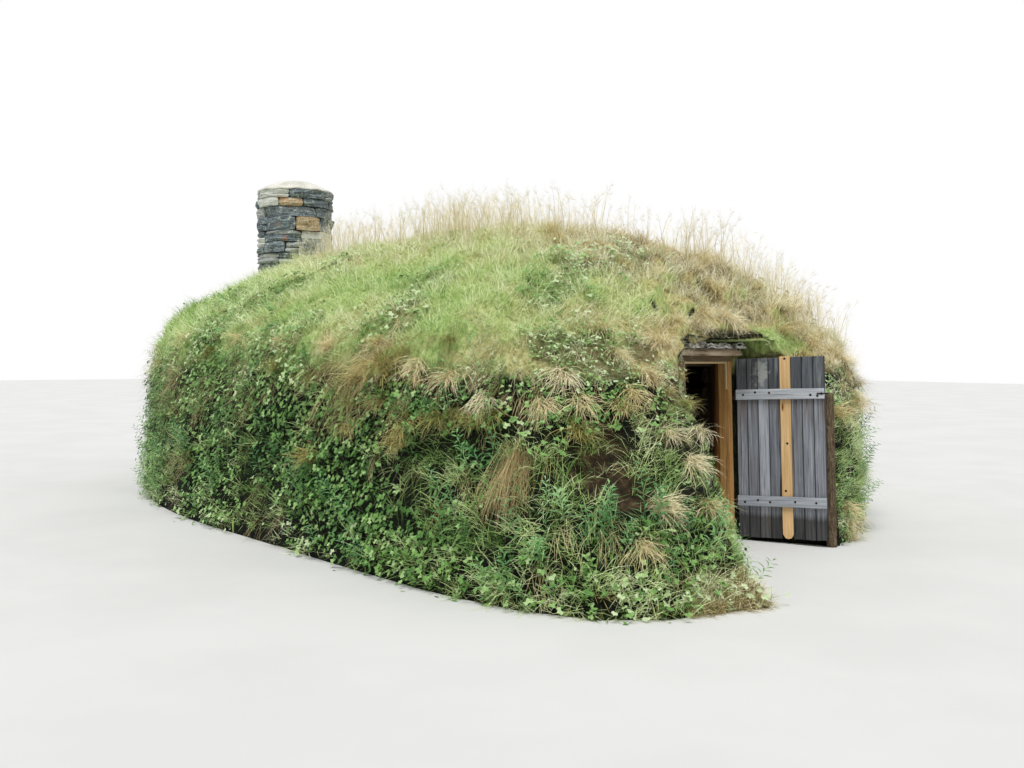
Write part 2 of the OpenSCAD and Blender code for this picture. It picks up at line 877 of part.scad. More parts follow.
module chimney_shaft() {
  color("dimgray") difference() {
    translate([chimney_x, chimney_y, hearth_top])
      cylinder(r = chimney_r, h = shaft_top - hearth_top, $fn = 64);
    flue();
    joints_of_shell();
  }
}

// Courses of flat stone, each standing a little in or out of the one below
module chimney_stack() {
  top = chimney_h - cap_h - seat;
  low = shaft_top + seat;
  count = floor((top - low) / course_h);
  step = (top - low) / count;
  radius = [for (i = [0:count - 1])
    i < root_courses ? stack_r : stack_r - step_in * (2 * i / count + (1 + sin(i * 137)) / 2)];
  outer = [for (i = [0:count - 1]) each [[radius[i], low + i * step], [radius[i], low + (i + 1) * step]]];
  color("slategray") difference() {
    translate([chimney_x, chimney_y, 0]) rotate_extrude($fn = 64)
      polygon(concat([[flue_d / 2, low]], outer, [[flue_d / 2, top]]));
    joints_of_shell();
  }
}

// Mortar dome round the mouth of the flue
module chimney_cap() {
  low = chimney_h - cap_h;
  rim = chimney_r - cap_in;
  lip = flue_d / 2;
  bow = cap_h - cap_edge;
  dome = [for (k = [0:8]) [mix(rim, lip + lip_w, k / 8), low + cap_edge + bow * sin(k * 90 / 8)]];
  color("gainsboro") translate([chimney_x, chimney_y, 0]) rotate_extrude($fn = 64)
    polygon(concat([[lip, low], [rim, low]], dome, [[lip, chimney_h - lip_drop]]));
}

left_wall_turf();
right_wall_turf();
back_wall_turf_left();
back_wall_turf_right();
front_bank_left();
front_bank_right();
front_roof_turf();
roof_turf_left();
roof_turf_right();
back_roof_turf_left();
back_roof_turf_right();
left_wall_logs();
right_wall_logs();
back_wall_logs_left();
back_wall_logs_right();
front_wall_logs_left();
front_wall_logs_right();
front_plate();
back_gable_logs();
ridge_log();
ridge_posts();
hip_rafters();
purlins();
roof_poles_left();
roof_poles_right();
roof_poles_front();
roof_bark_left();
roof_bark_right();
roof_bark_front();
lintel_logs();
door_bark();
door_sill();
door_post_left();
door_post_right();
door_head();
stop_battens();
reveal_board_left();
reveal_board_right();
hinge_pintles();
stay_post();
hearth();
chimney_shaft();
chimney_stack();
chimney_cap();
door_planks();
new_plank();
upper_ledge();
lower_ledge();
strap_hinges();
door_hook();
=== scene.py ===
import json
import math
import random

import bmesh
import bpy
import numpy as np
from mathutils import Matrix, Vector, noise
from mathutils.bvhtree import BVHTree


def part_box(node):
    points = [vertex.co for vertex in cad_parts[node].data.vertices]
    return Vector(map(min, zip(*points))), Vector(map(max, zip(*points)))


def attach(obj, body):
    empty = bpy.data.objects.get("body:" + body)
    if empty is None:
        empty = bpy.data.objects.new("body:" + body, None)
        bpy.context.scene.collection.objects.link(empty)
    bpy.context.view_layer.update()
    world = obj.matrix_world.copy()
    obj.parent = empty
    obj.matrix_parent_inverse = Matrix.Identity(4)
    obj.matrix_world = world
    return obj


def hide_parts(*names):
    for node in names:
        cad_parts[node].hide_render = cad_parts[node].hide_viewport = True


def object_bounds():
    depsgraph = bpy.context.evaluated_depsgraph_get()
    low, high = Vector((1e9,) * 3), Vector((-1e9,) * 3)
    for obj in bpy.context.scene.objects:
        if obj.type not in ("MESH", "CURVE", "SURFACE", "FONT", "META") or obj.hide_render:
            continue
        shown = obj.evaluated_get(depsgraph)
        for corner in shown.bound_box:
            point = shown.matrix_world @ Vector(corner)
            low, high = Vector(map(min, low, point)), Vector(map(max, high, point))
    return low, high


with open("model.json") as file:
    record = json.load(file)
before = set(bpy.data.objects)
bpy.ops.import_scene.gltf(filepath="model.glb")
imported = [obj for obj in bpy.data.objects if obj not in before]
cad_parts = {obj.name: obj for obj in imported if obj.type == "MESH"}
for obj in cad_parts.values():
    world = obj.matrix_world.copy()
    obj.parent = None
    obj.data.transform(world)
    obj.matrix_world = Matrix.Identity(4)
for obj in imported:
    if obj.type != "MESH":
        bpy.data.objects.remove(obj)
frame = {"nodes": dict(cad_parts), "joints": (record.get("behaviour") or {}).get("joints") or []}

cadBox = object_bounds()
nodes = frame["nodes"]
swing = frame["joints"][0]
print("stage: frame loaded,", len(nodes), "nodes")


# Node trees: a socket takes part in plain expressions, and add() makes every node

class Socket:
    def __init__(self, graph, socket):
        self.graph = graph
        self.socket = socket

    def calc(self, operation, *values):
        vector = any(isinstance(v, Socket) and v.socket.type in ("VECTOR", "RGBA") for v in values)
        if vector:
            values = [v if isinstance(v, (Socket, tuple)) else (v, v, v) for v in values]
        kind = "ShaderNodeVectorMath" if vector else "ShaderNodeMath"
        return self.graph.add(kind, {"operation": operation}, dict(enumerate(values)))

    def __add__(self, other):
        return self.calc("ADD", self, other)

    def __radd__(self, other):
        return self.calc("ADD", other, self)

    def __sub__(self, other):
        return self.calc("SUBTRACT", self, other)

    def __rsub__(self, other):
        return self.calc("SUBTRACT", other, self)

    def __mul__(self, other):
        return self.calc("MULTIPLY", self, other)

    def __rmul__(self, other):
        return self.calc("MULTIPLY", other, self)

    def other(self, name):
        return Socket(self.graph, self.graph.pick(self.socket.node.outputs, name))


class Graph:
    def __init__(self, tree):
        self.tree = tree

    def add(self, kind, settings=None, values=None, out=None):
        node = self.tree.nodes.new(kind)
        for key, value in (settings or {}).items():
            if key == "stops":
                self.setStops(node.color_ramp, value)
            else:
                setattr(node, key, value)
        for key, value in (values or {}).items():
            socket = self.pick(node.inputs, key)
            if isinstance(value, Socket):
                self.tree.links.new(value.socket, socket)
            else:
                socket.default_value = value
        return Socket(self, self.pick(node.outputs, out)) if node.outputs else node

    def pick(self, sockets, key):
        if isinstance(key, int):
            return sockets[key]
        return next(s for s in sockets if s.enabled and key in (None, s.name))

    def setStops(self, ramp, stops):
        while len(ramp.elements) < len(stops):
            ramp.elements.new(1)
        for element, (place, color) in zip(ramp.elements, stops):
            element.position = place
            element.color = color

    def ramp(self, factor, *stops):
        return self.add("ShaderNodeValToRGB", {"stops": stops}, {"Fac": factor}, "Color")

    def level(self, factor, low, high):
        return self.add("ShaderNodeMapRange", None, {0: factor, 1: low, 2: high, 3: 0, 4: 1})

    def mix(self, factor, a, b):
        return self.add("ShaderNodeMix", {"data_type": "RGBA"}, {0: factor, 6: a, 7: b}, 2)

    def noise(self, place, scale, detail=3, rough=0.55, distort=0):
        values = {"Vector": place, "Scale": scale, "Detail": detail, "Roughness": rough, "Distortion": distort}
        return self.add("ShaderNodeTexNoise", None, values, 0)

    def cells(self, place, scale, out="Distance"):
        return self.add("ShaderNodeTexVoronoi", None, {"Vector": place, "Scale": scale}, out)

    def attribute(self, name, out="Fac"):
        return self.add("ShaderNodeAttribute", {"attribute_name": name}, None, out)

    def place(self):
        return self.add("ShaderNodeTexCoord", None, None, "Object")

    def scaled(self, place, x, y, z):
        return self.add("ShaderNodeMapping", None, {"Vector": place, "Scale": (x, y, z)})

    def bump(self, height, strength, distance):
        return self.add("ShaderNodeBump", None, {"Strength": strength, "Distance": distance, "Height": height})


def paint(red, green, blue):
    # a colour as a screen shows it, 0 to 255, made linear for the shaders
    parts = [c / 255 for c in (red, green, blue)]
    return tuple(c / 12.92 if c < 0.04045 else ((c + 0.055) / 1.055) ** 2.4 for c in parts) + (1,)


def makeMaterial(name, slot, shade):
    # shade(graph) gives the values of the Principled node's sockets
    material = bpy.data.materials.new(name)
    material.use_nodes = True
    material.node_tree.nodes.clear()
    graph = Graph(material.node_tree)
    surface = graph.add("ShaderNodeBsdfPrincipled", None, shade(graph))
    graph.add("ShaderNodeOutputMaterial", None, {"Surface": surface})
    material["slotName"] = slot
    return material


# Meshes

def inScene(name, data):
    obj = bpy.data.objects.new(name, data)
    bpy.context.scene.collection.objects.link(obj)
    return obj


def makePiece(name, mesh, material, body="house", replaces=()):
    mesh.name = name
    obj = inScene(name, mesh)
    mesh.materials.clear()
    mesh.materials.append(material)
    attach(obj, body)
    if replaces:
        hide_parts(*replaces)
    return obj


def dress(names, material):
    # CAD nodes that keep their own form
    for name in names:
        nodes[name].data.materials.clear()
        nodes[name].data.materials.append(material)


def readVectors(items, name, count):
    numbers = np.empty(count * 3)
    items.foreach_get(name, numbers)
    return numbers.reshape(-1, 3)


def coordinates(mesh):
    return readVectors(mesh.vertices, "co", len(mesh.vertices))


def normals(mesh):
    return readVectors(mesh.vertex_normals, "vector", len(mesh.vertices))


def setCoordinates(mesh, places):
    mesh.vertices.foreach_set("co", np.asarray(places, dtype=float).ravel())
    mesh.update()


def setNumbers(mesh, name, numbers, kind="FLOAT"):
    layer = mesh.attributes.get(name) or mesh.attributes.new(name, kind, "POINT")
    values = np.asarray(numbers, dtype=float).ravel()
    layer.data.foreach_set("value" if kind == "FLOAT" else "vector", values)


def meshOf(name, places, faces, smooth=True):
    mesh = bpy.data.meshes.new(name)
    mesh.from_pydata([tuple(p) for p in places], [], faces)
    mesh.polygons.foreach_set("use_smooth", [smooth] * len(mesh.polygons))
    mesh.update()
    return mesh


def step(low, high, numbers):
    # 0 below low, 1 above high, with a soft way between them
    share = np.clip((numbers - low) / (high - low), 0, 1)
    return share * share * (3 - 2 * share)


def fade(low, high, numbers):
    return 1 - step(low, high, numbers)


def noiseOn(places, size, seed):
    # soft noise, about -1 to 1, with lumps of about that size
    shift = Vector((seed * 7.31, seed * 3.17, seed * 5.53))
    return np.array([noise.noise(Vector(p) / size + shift) for p in places]) * 1.6


def evaluated(obj):
    graph = bpy.context.evaluated_depsgraph_get()
    return bpy.data.meshes.new_from_object(obj.evaluated_get(graph))


def merged(names):
    bm = bmesh.new()
    for name in names:
        bm.from_mesh(nodes[name].data)
    return bm


def cadMesh(names):
    # one mesh of several CAD nodes, each corner kept once
    bm = merged(names)
    bmesh.ops.remove_doubles(bm, verts=bm.verts, dist=0.00002)
    mesh = bpy.data.meshes.new("cadCopy")
    bm.to_mesh(mesh)
    bm.free()
    return mesh


def withModifiers(mesh, *modifiers):
    # each modifier is its type and its settings; the result is a plain mesh
    scratch = inScene("scratch", mesh)
    for kind, settings in modifiers:
        modifier = scratch.modifiers.new(kind, kind)
        for key, value in settings.items():
            setattr(modifier, key, value)
    result = evaluated(scratch)
    bpy.data.objects.remove(scratch)
    return result


def softCopy(names, grain, depth, size, seed, soften=2):
    # CAD nodes as one body with rounded edges and a rough surface
    mesh = withModifiers(
        cadMesh(names),
        ("REMESH", {"mode": "VOXEL", "voxel_size": grain, "use_smooth_shade": True}),
        ("SMOOTH", {"iterations": soften}),
    )
    places = coordinates(mesh)
    setCoordinates(mesh, places + normals(mesh) * (noiseOn(places, size, seed) * depth)[:, None])
    return mesh


def nodeTree(name, *keys):
    # a Geometry Nodes tree with named inputs, and the identifier of each
    tree = bpy.data.node_groups.new(name, "GeometryNodeTree")
    for way in ("INPUT", "OUTPUT"):
        tree.interface.new_socket("Geometry", in_out=way, socket_type="NodeSocketGeometry")
    inputs = {}
    for key in keys:
        kind = "NodeSocketInt" if key == "Seed" else "NodeSocketFloat"
        inputs[key] = tree.interface.new_socket(key, in_out="INPUT", socket_type=kind).identifier
    return tree, inputs


def withNodes(mesh, tree, inputs, settings):
    # the plain mesh that a tree makes of another one
    carrier = inScene("carrier", mesh)
    modifier = carrier.modifiers.new("nodes", "NODES")
    modifier.node_group = tree
    for key, identifier in inputs.items():
        if key in settings:
            modifier[identifier] = settings[key]
    result = evaluated(carrier)
    bpy.data.objects.remove(carrier)
    return result


# Camera: where the photo was taken from

view = {
    "place": (-7.097, -9.207, 1.610),
    "yaw": 40.0,  # degrees from the house's long side
    "pitch": -1.522,
    "roll": 0.242,
    "lens": 36.39,  # mm
    "sensor": 36,  # mm
    "wide": 1024,
    "high": 768,
}


def viewAxes():
    yaw, pitch, roll = (math.radians(view[key]) for key in ("yaw", "pitch", "roll"))
    ahead = Vector((math.sin(yaw) * math.cos(pitch), math.cos(yaw) * math.cos(pitch), math.sin(pitch)))
    right = Vector((math.cos(yaw), -math.sin(yaw), 0))
    up = right.cross(ahead)
    return right * math.cos(roll) + up * math.sin(roll), up * math.cos(roll) - right * math.sin(roll), ahead


def seenOn(tree, pixel):
    # the place on a surface that a pixel of the photo shows, and the way it faces
    right, up, ahead = viewAxes()
    focal = view["lens"] / view["sensor"] * view["wide"]
    ray = ahead * focal + right * (pixel[0] - view["wide"] / 2) - up * (pixel[1] - view["high"] / 2)
    place, faces, _, _ = tree.ray_cast(Vector(view["place"]), ray.normalized())
    return place, faces


# Turf skin: the CAD turf as one soft, lumpy body

turf = {
    "grain": 0.042,  # size of a new face, m
    "keep": 0.33,  # share of the faces kept
    "soften": 9,
    "under": 0.085,  # how far the soil lies under the tips of the growth, m
    "lumpSize": 0.6,
    "lumpDepth": 0.045,
    "tuftSize": 0.14,
    "tuftDepth": 0.018,
    "mopSize": 0.3,  # the round tussocks over the door
    "mopDepth": 0.07,
    "clearOfWood": 0.05,  # turf nearer to wood than this stays smooth and bears nothing
    "underside": -0.45,  # faces that look further down than this bear nothing
    "buried": 0.3,  # how far the body reaches into the ground while it is softened
    "hollow": 0.1,  # depth of bare earth
    "closeUp": 0.03,  # how far the turf closes up to the lintel and its bark
    "proud": 0.12,  # how far growth may stand out of the CAD box
}
turfNodes = [n for n in nodes if "turf" in n or n.startswith("front_bank")]
hardNodes = [n for n in nodes if n not in turfNodes]

# the door's swing, which nothing that grows may enter
hinge = Vector(swing["pos_m"])
lean = swing["axis"][1] / swing["axis"][2]
openTurn = math.radians(180 - swing["range_deg"][0])
leafLine = Vector((math.cos(openTurn), math.sin(openTurn)))
sweep = {"radius": 0.815, "top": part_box("door_planks")[1].z + 0.02, "leafRoom": 0.06, "from": 165}
# the space before the lintel and its bark, where nothing hangs down
sill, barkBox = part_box("door_sill"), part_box("door_bark")
porch = {"low": sill[0].x - 0.05, "high": sill[1].x + 0.05, "back": hinge.y + 0.3, "top": barkBox[1].z - 0.012}
# round the doorway the growth is kept short
doorway = {
    "middle": Vector((-0.25, hinge.y - 0.3)),
    "radius": 1.4,
    "around": 1.6,  # the turf that counts as the doorway's own
    "over": 0.1,  # what may hang over the opening's edge, m
    "beside": 0.03,  # what may stand into the way in near the ground
    "back": 0.07,  # how much further back it keeps higher up
    "side": 0.5,  # how squarely a face looks into the opening
    "edge": 0.4,  # how much smaller clumps are at the edge
    "slip": 0.08,  # how far the left bank's edge keeps off the opening
    "rootsGone": 0.4,  # share of cut roots at which a whole clump goes
}


def linesTheWay(face):
    middle = face.calc_center_median()
    inward = face.normal.x if middle.x < hinge.x else -face.normal.x
    near = (middle.xy - doorway["middle"]).length < doorway["around"]
    return near and (inward > doorway["side"] or face.normal.z < -doorway["side"])


bm = merged(("front_bank_left", "front_bank_right", "front_roof_turf"))
bmesh.ops.triangulate(bm, faces=bm.faces[:])
bankTree = BVHTree.FromBMesh(bm)
# the faces that line the way in, and the underside over it
lining = [face for face in bm.faces if linesTheWay(face)]
corners = [vert.co.copy() for face in lining for vert in face.verts]
liningTree = BVHTree.FromPolygons(corners, [[3 * i, 3 * i + 1, 3 * i + 2] for i in range(len(lining))])
bm.free()


def trimmed(mesh):
    # what would grow into the door's swing or before its lintel is cut off, and the rest kept in the box
    places = coordinates(mesh)
    x, y, z = places.T
    dx, dy = x - hinge.x, y - hinge.y - lean * z
    bearing = np.degrees(np.arctan2(dy, dx)) % 360
    behind = leafLine.x * dy - leafLine.y * dx
    cut = (np.hypot(dx, dy) < sweep["radius"]) & (z < sweep["top"])
    cut &= (bearing > sweep["from"]) & (behind < sweep["leafRoom"])
    cut |= (x > porch["low"]) & (x < porch["high"]) & (y < porch["back"]) & (z < porch["top"])
    beside = ~cut & (np.hypot(x - doorway["middle"].x, y - doorway["middle"].y) < doorway["radius"])
    for i in np.flatnonzero(beside):
        place = Vector(places[i])
        surface, faces, _, away = bankTree.find_nearest(place)
        toDoor = faces.x if place.x < hinge.x else -faces.x
        overLeaf = place.z > porch["top"] + 0.06 or (place.z > sweep["top"] and place.x > porch["high"])
        length = doorway["over"] if overLeaf else doorway["beside"] - doorway["back"] * step(0.35, 0.8, place.z)
        cut[i] = toDoor > doorway["side"] and math.copysign(away, (place - surface).dot(faces)) > length
    # a clump goes as a whole where its roots are cut off
    clump, along = (np.array([item.value for item in mesh.attributes[key].data]) for key in ("clump", "along"))
    clump, roots = np.rint(clump).astype(int), (along < 0.25).astype(float)
    share = np.bincount(clump, cut * roots) / np.maximum(np.bincount(clump, roots), 1)
    cut |= share[clump] > doorway["rootsGone"]
    bm = bmesh.new()
    bm.from_mesh(mesh)
    doomed = [vert for vert, gone in zip(bm.verts, cut) if gone]
    bmesh.ops.delete(bm, geom=doomed, context="VERTS")
    loose = [vert for vert in bm.verts if not vert.link_faces]
    bmesh.ops.delete(bm, geom=loose, context="VERTS")
    bm.to_mesh(mesh)
    bm.free()
    proud = turf["proud"]
    low = np.array(cadBox[0]) - (proud, proud, -0.003)
    high = np.array(cadBox[1]) + (proud, proud, 0)
    setCoordinates(mesh, np.clip(coordinates(mesh), low, high))


def treeOf(names):
    bm = merged(names)
    tree = BVHTree.FromBMesh(bm)
    bm.free()
    return tree


def distanceTo(tree, places):
    found = (tree.find_nearest(Vector(p), 1.0)[3] for p in places)
    return np.array([1.0 if d is None else d for d in found])


def onFloor(mesh):
    # closed again at floor level, where the body below was only there to keep its foot upright
    bm = bmesh.new()
    bm.from_mesh(mesh)
    whole = bm.verts[:] + bm.edges[:] + bm.faces[:]
    cut = bmesh.ops.bisect_plane(bm, geom=whole, plane_co=(0, 0, 0), plane_no=(0, 0, 1), clear_inner=True)
    edges = [e for e in cut["geom_cut"] if isinstance(e, bmesh.types.BMEdge)]
    bmesh.ops.triangle_fill(bm, use_beauty=True, edges=edges, normal=(0, 0, -1))
    bm.to_mesh(mesh)
    bm.free()


# the notch that shows the lintel and its bark: its left side runs along the line of sight
notch = {"front": -4.2, "back": -3.44, "low": 1.45, "left": 0.02, "right": 0.03, "over": 0.004}
splay = (barkBox[0].y - notch["front"]) * math.tan(math.radians(view["yaw"]))
left, right = barkBox[0].x - notch["left"], barkBox[1].x + notch["right"]
notchPlan = [(left, notch["back"]), (left - splay, notch["front"]), (right, notch["front"]), (right, notch["back"])]
notchPlaces = [(px, py, pz) for pz in (notch["low"], barkBox[1].z + notch["over"]) for px, py in notchPlan]
notchFaces = [(3, 2, 1, 0), (4, 5, 6, 7)] + [(i, (i + 1) % 4, 4 + (i + 1) % 4, 4 + i) for i in range(4)]
cutter = inScene("notch", meshOf("notch", notchPlaces, notchFaces, smooth=False))
rawTurf = cadMesh(turfNodes)
rawPlaces = coordinates(rawTurf)
rawPlaces[rawPlaces[:, 2] < 0.001, 2] = -turf["buried"]
setCoordinates(rawTurf, rawPlaces)
skin = withModifiers(
    rawTurf,
    ("REMESH", {"mode": "VOXEL", "voxel_size": turf["grain"], "use_smooth_shade": True}),
    ("SMOOTH", {"iterations": turf["soften"]}),
    ("BOOLEAN", {"operation": "DIFFERENCE", "solver": "EXACT", "object": cutter}),
    ("DECIMATE", {"ratio": turf["keep"]}),
)
bpy.data.objects.remove(cutter)
onFloor(skin)

places, facing = coordinates(skin), normals(skin)
x, y, z = places.T
doorY, eave, ridge = hinge.y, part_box("roof_turf_left")[0].z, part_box("roof_turf_left")[1].z
hardTree = treeOf(hardNodes)
gap = distanceTo(hardTree, places)
outer = step(turf["clearOfWood"], turf["clearOfWood"] + 0.09, gap)
soil = outer * turf["under"]
nearSwing = np.hypot(x - hinge.x, y - hinge.y) - sweep["radius"]
outer *= np.maximum(step(0.02, 0.2, nearSwing), step(sweep["top"], sweep["top"] + 0.15, z))
fromDoor = np.hypot(x - doorway["middle"].x, y - doorway["middle"].y)
soil *= 0.7 + 0.3 * step(doorway["radius"] - 0.2, doorway["radius"] + 0.3, fromDoor)
lumps = noiseOn(places, turf["lumpSize"], 1) * turf["lumpDepth"]
lumps += noiseOn(places, turf["tuftSize"], 2) * turf["tuftDepth"]
# over the door stand round tussocks, one to each cell
mops = fade(doorY + 0.5, doorY + 2.6, y) * step(-1.5, -0.7, x) * step(eave - 0.1, eave + 0.2, z)
for i in np.flatnonzero(mops):
    mops[i] *= fade(0.2, 0.62, noise.voronoi(Vector(places[i]) / turf["mopSize"])[0][0])
lumps = (lumps + turf["mopDepth"] * mops) * outer * step(0.0, 0.3, z) - soil
lumps += turf["closeUp"] * fade(0.02, 0.1, distanceTo(treeOf(["lintel_logs", "door_bark"]), places))
onGround = z < 0.001
places = places + facing * lumps[:, None]
x, y, z = places.T
# the left bank's edge keeps off the opening above knee height
toLining = distanceTo(liningTree, places)
x -= doorway["slip"] * (x < 0) * fade(0.08, 0.5, toLining) * step(0.5, 0.9, z) * step(0.05, 0.25, hinge.y - y)
z[:] = np.clip(z, 0, None)
z[onGround] = 0
setCoordinates(skin, places)
facing = normals(skin)
print("stage: turf skin,", len(skin.polygons), "faces")

skinTree = BVHTree.FromPolygons([Vector(p) for p in places], [list(p.vertices) for p in skin.polygons])


def patches(spots, softness=0.5):
    # 1 on the skin around each spot of the photo, given as pixel x, y and a radius in m
    share = np.zeros(len(places))
    for across, down, radius in spots:
        place, _ = seenOn(skinTree, (across, down))
        if place:
            away = np.linalg.norm(places - np.array(place), axis=1)
            share = np.maximum(share, fade(radius * softness, radius, away))
    return share


# places in the photo, in its pixels, each with a radius in m
bareSpots = [
    (612, 462, 0.4), (602, 436, 0.28), (628, 484, 0.28), (590, 476, 0.26), (650, 412, 0.14), (294, 433, 0.16),
    (362, 470, 0.13), (526, 418, 0.12),
]
mossSpots = [(712, 606, 0.25), (748, 592, 0.2), (200, 536, 0.3), (290, 560, 0.3)]
leafSpots = [
    (560, 350, 0.34), (596, 344, 0.3), (615, 370, 0.3), (575, 380, 0.26), (640, 350, 0.22), (668, 398, 0.22),
    (600, 405, 0.3), (545, 418, 0.3), (300, 390, 0.45), (230, 382, 0.5), (195, 400, 0.4), (385, 400, 0.35),
    (262, 352, 0.4), (480, 420, 0.3), (205, 345, 0.45), (172, 360, 0.3),
]
roofLeafSpots = [
    (588, 268, 0.5), (640, 258, 0.4), (556, 290, 0.4), (430, 285, 0.4), (392, 312, 0.4), (340, 262, 0.3),
    (222, 322, 0.4), (300, 330, 0.4), (255, 305, 0.5), (285, 298, 0.4), (230, 298, 0.4),
]
hangSpots = [
    (320, 350, 0.3), (362, 366, 0.4), (522, 368, 0.32), (470, 378, 0.3), (402, 348, 0.3), (440, 356, 0.3),
    (458, 345, 0.3), (492, 354, 0.35), (545, 352, 0.22),
]

# where each kind of growth stands, as shares from 0 to 1 on the skin
flat = facing[:, 2]
broad, fine = noiseOn(places, 0.9, 3), noiseOn(places, 0.3, 4)
bare, moss = patches(bareSpots, 0.2) * np.clip(1 + 0.6 * noiseOn(places, 0.12, 5), 0, 1), patches(mossSpots)
leafSpot, hangSpot, roofLeafSpot = patches(leafSpots), patches(hangSpots), patches(roofLeafSpots)
atWood = turf["clearOfWood"] + 0.03
clear = step(turf["clearOfWood"], atWood, gap) * (flat > turf["underside"])
# turf that is thin over the roof's poles still bears growth, where no wood stands before it
for i in np.flatnonzero((gap < atWood) & (z > sweep["top"]) & (flat > turf["underside"])):
    way = Vector(facing[i])
    clear[i] = hardTree.ray_cast(Vector(places[i]) + way * 0.002, way, 0.4)[0] is None
vigour = 1 - doorway["edge"] * fade(0.1, 0.5, toLining) * step(0.2, 0.6, z)
overDoor = fade(doorY + 0.5, doorY + 2.6, y)
onRoof = step(0.35, 0.6, flat) * step(eave - 0.3, eave + 0.1, z)
onWall = fade(0.5, 0.8, flat) * fade(eave - 0.2, eave + 0.2, z)
brow = np.exp(-(((z - eave + 0.02) / 0.3) ** 2)) * fade(0.75, 0.92, flat)
nearRidge = step(ridge - 0.75, ridge - 0.15, z)
crown = step(ridge - 0.35, ridge - 0.1, z) * fade(1.6, 2.6, y)
toe = fade(0.1, 0.4, z)
frontBank = fade(doorY - 0.1, doorY + 0.5, y) * fade(0.9, 1.4, z)
onWall = np.maximum(onWall, 0.9 * frontBank * fade(0.88, 0.96, flat))
# bright grass on the edge above the open leaf
overLeaf = step(1.6, 1.68, z) * fade(1.82, 1.94, z) * fade(0.45, 0.7, np.hypot(x - 0.45, y - hinge.y + 0.23))
overLeaf *= x > barkBox[1].x - 0.1
onWall *= 1 - overLeaf
tufty = overDoor * step(-1.3, -0.3, x) * onRoof * (1 - overLeaf)
# painted shade on the skin: on the walls and the front bank between the leaves, under leaf patches and in the gaps
# between the tussocks
shaded = np.maximum(onWall, np.maximum(0.6 * leafSpot, tufty * (0.5 - 0.5 * mops))) * (1 - overLeaf)
# turf over the doorway that bears nothing gets painted shade, and so do the far slope and the roof's leaf patches
byDoor = fromDoor < doorway["around"]
shaded = np.maximum(shaded, 0.5 * (1 - clear) * byDoor)
shaded = np.maximum(shaded, 0.45 * step(1.5, 3.5, y) * onRoof)
shaded = np.maximum(shaded, 0.45 * roofLeafSpot)
# painted shade in the hollow between the bark and the tussocks over it
recess = fade(barkBox[1].z + 0.06, barkBox[1].z + 0.14, z) * (z > barkBox[0].z) * (fromDoor < 1.2)
recess *= (x > barkBox[0].x - 0.05) * (x < barkBox[1].x)
shaded = np.maximum(shaded, 0.75 * recess)
# painted shade on the turf by the door that faces down or sideways
shaded = np.maximum(shaded, 0.8 * (flat < 0.15) * byDoor * (x < barkBox[1].x) * (z > barkBox[0].z - 0.1))
soily = clear * (1 - 0.95 * bare)
growing = 0.9 * onRoof + 0.24 + 0.3 * toe + 0.2 * broad + 0.6 * frontBank + moss + 1.2 * overLeaf
hanging = brow * step(-0.9, 0.3, broad + 0.5 * fine) + 0.12 * onWall * step(0.0, 0.6, broad) + 0.9 * hangSpot
leafy = onWall * step(-0.7, 0.15, 0.5 * fine - broad) + 0.07 * onRoof * step(0, 0.5, broad)
herby = step(-0.1, 0.7, fine + 0.6 * broad) * fade(0.5, 1.1, z) + 0.25 * step(0.2, 0.7, fine)
stalky = crown * step(-0.6, 0.5, broad + 0.6 * fine) + 0.5 * overDoor * step(-0.3, 0.8, x) * onRoof
mopLike = tufty * (0.2 + 1.5 * mops) + 0.2 * brow + 0.3 * overDoor * (1 - onRoof) * step(0.6, 1.4, z)
zones = {
    "sward": soily * (1 - 0.4 * leafSpot) * (1 - tufty * (0.3 - 0.15 * mops)) * (1 - 0.6 * recess)
    * np.clip(growing, 0.1, 1),
    "hanging": clear * (1 - 0.8 * leafSpot) * (1 - bare) * np.clip(hanging, 0, 1),
    "leafy": soily * (1 - 0.55 * frontBank) * np.clip(leafy + leafSpot + 0.55 * roofLeafSpot, 0, 1),
    "herby": soily * onWall * np.clip(herby, 0, 1),
    "stalky": clear * np.clip(stalky, 0, 1),
    "low": clear * toe,
    "mossy": clear * np.clip(1.2 * moss + 0.3 * fade(0.02, 0.12, z), 0, 1),
    "tussocky": clear * (1 - bare) * np.clip(mopLike, 0, 1),
}
# 0 is deep green, 0.5 pale green, 1 straw
dryness = 0.06 + 0.31 * onRoof + 0.42 * overDoor * step(-1.0, 0.6, x + 0.6 * (doorY + 1.6 - y)) * step(0.5, 1.5, z)
dryness += onRoof * (0.14 * step(-1.5, 0.5, x) - 0.2 * step(1.0, 4.0, y))
dryness = dryness + 0.24 * nearRidge + 0.16 * brow + 0.2 * toe + 0.3 * moss + 0.1 * fade(0.4, 1.0, z)
dryness = np.clip(dryness + 0.12 * fine + 0.1 * broad, 0, 1)
dryness = dryness * (1 - overLeaf) + 0.24 * overLeaf
# the shaded share goes to the skin's finish as its painted shade
for name, numbers in {"dryness": dryness, "wall": shaded, "bare": bare, "moss": moss, "vigour": vigour}.items():
    setNumbers(skin, name, numbers)
# the underside at floor level bears nothing
topside = [float(face.center.z > 0.002) for face in skin.polygons]
skin.attributes.new("topside", "FLOAT", "FACE").data.foreach_set("value", topside)
# bare earth lies in shallow hollows
setCoordinates(skin, places - facing * (bare * turf["hollow"])[:, None])


# Growth: small clumps of flat blades and leaves, spread over the skin by Geometry Nodes

growth = {
    "bladeWidth": 0.0042,
    "fineBlade": 0.0034,
    "thickBlade": 0.0046,
    "stalkWidth": 0.0045,
    "leafFold": 0.15,
    "spin": 2.4,  # turn from one leaf of a stem to the next, radians
    "mapMargin": 0.03,  # kept free at the edges of the colour map
    "bladeShift": 0.045,  # how much a blade's colour differs from its clump's
}


def sideOf(turn):
    return Vector((-math.sin(turn), math.cos(turn), 0))


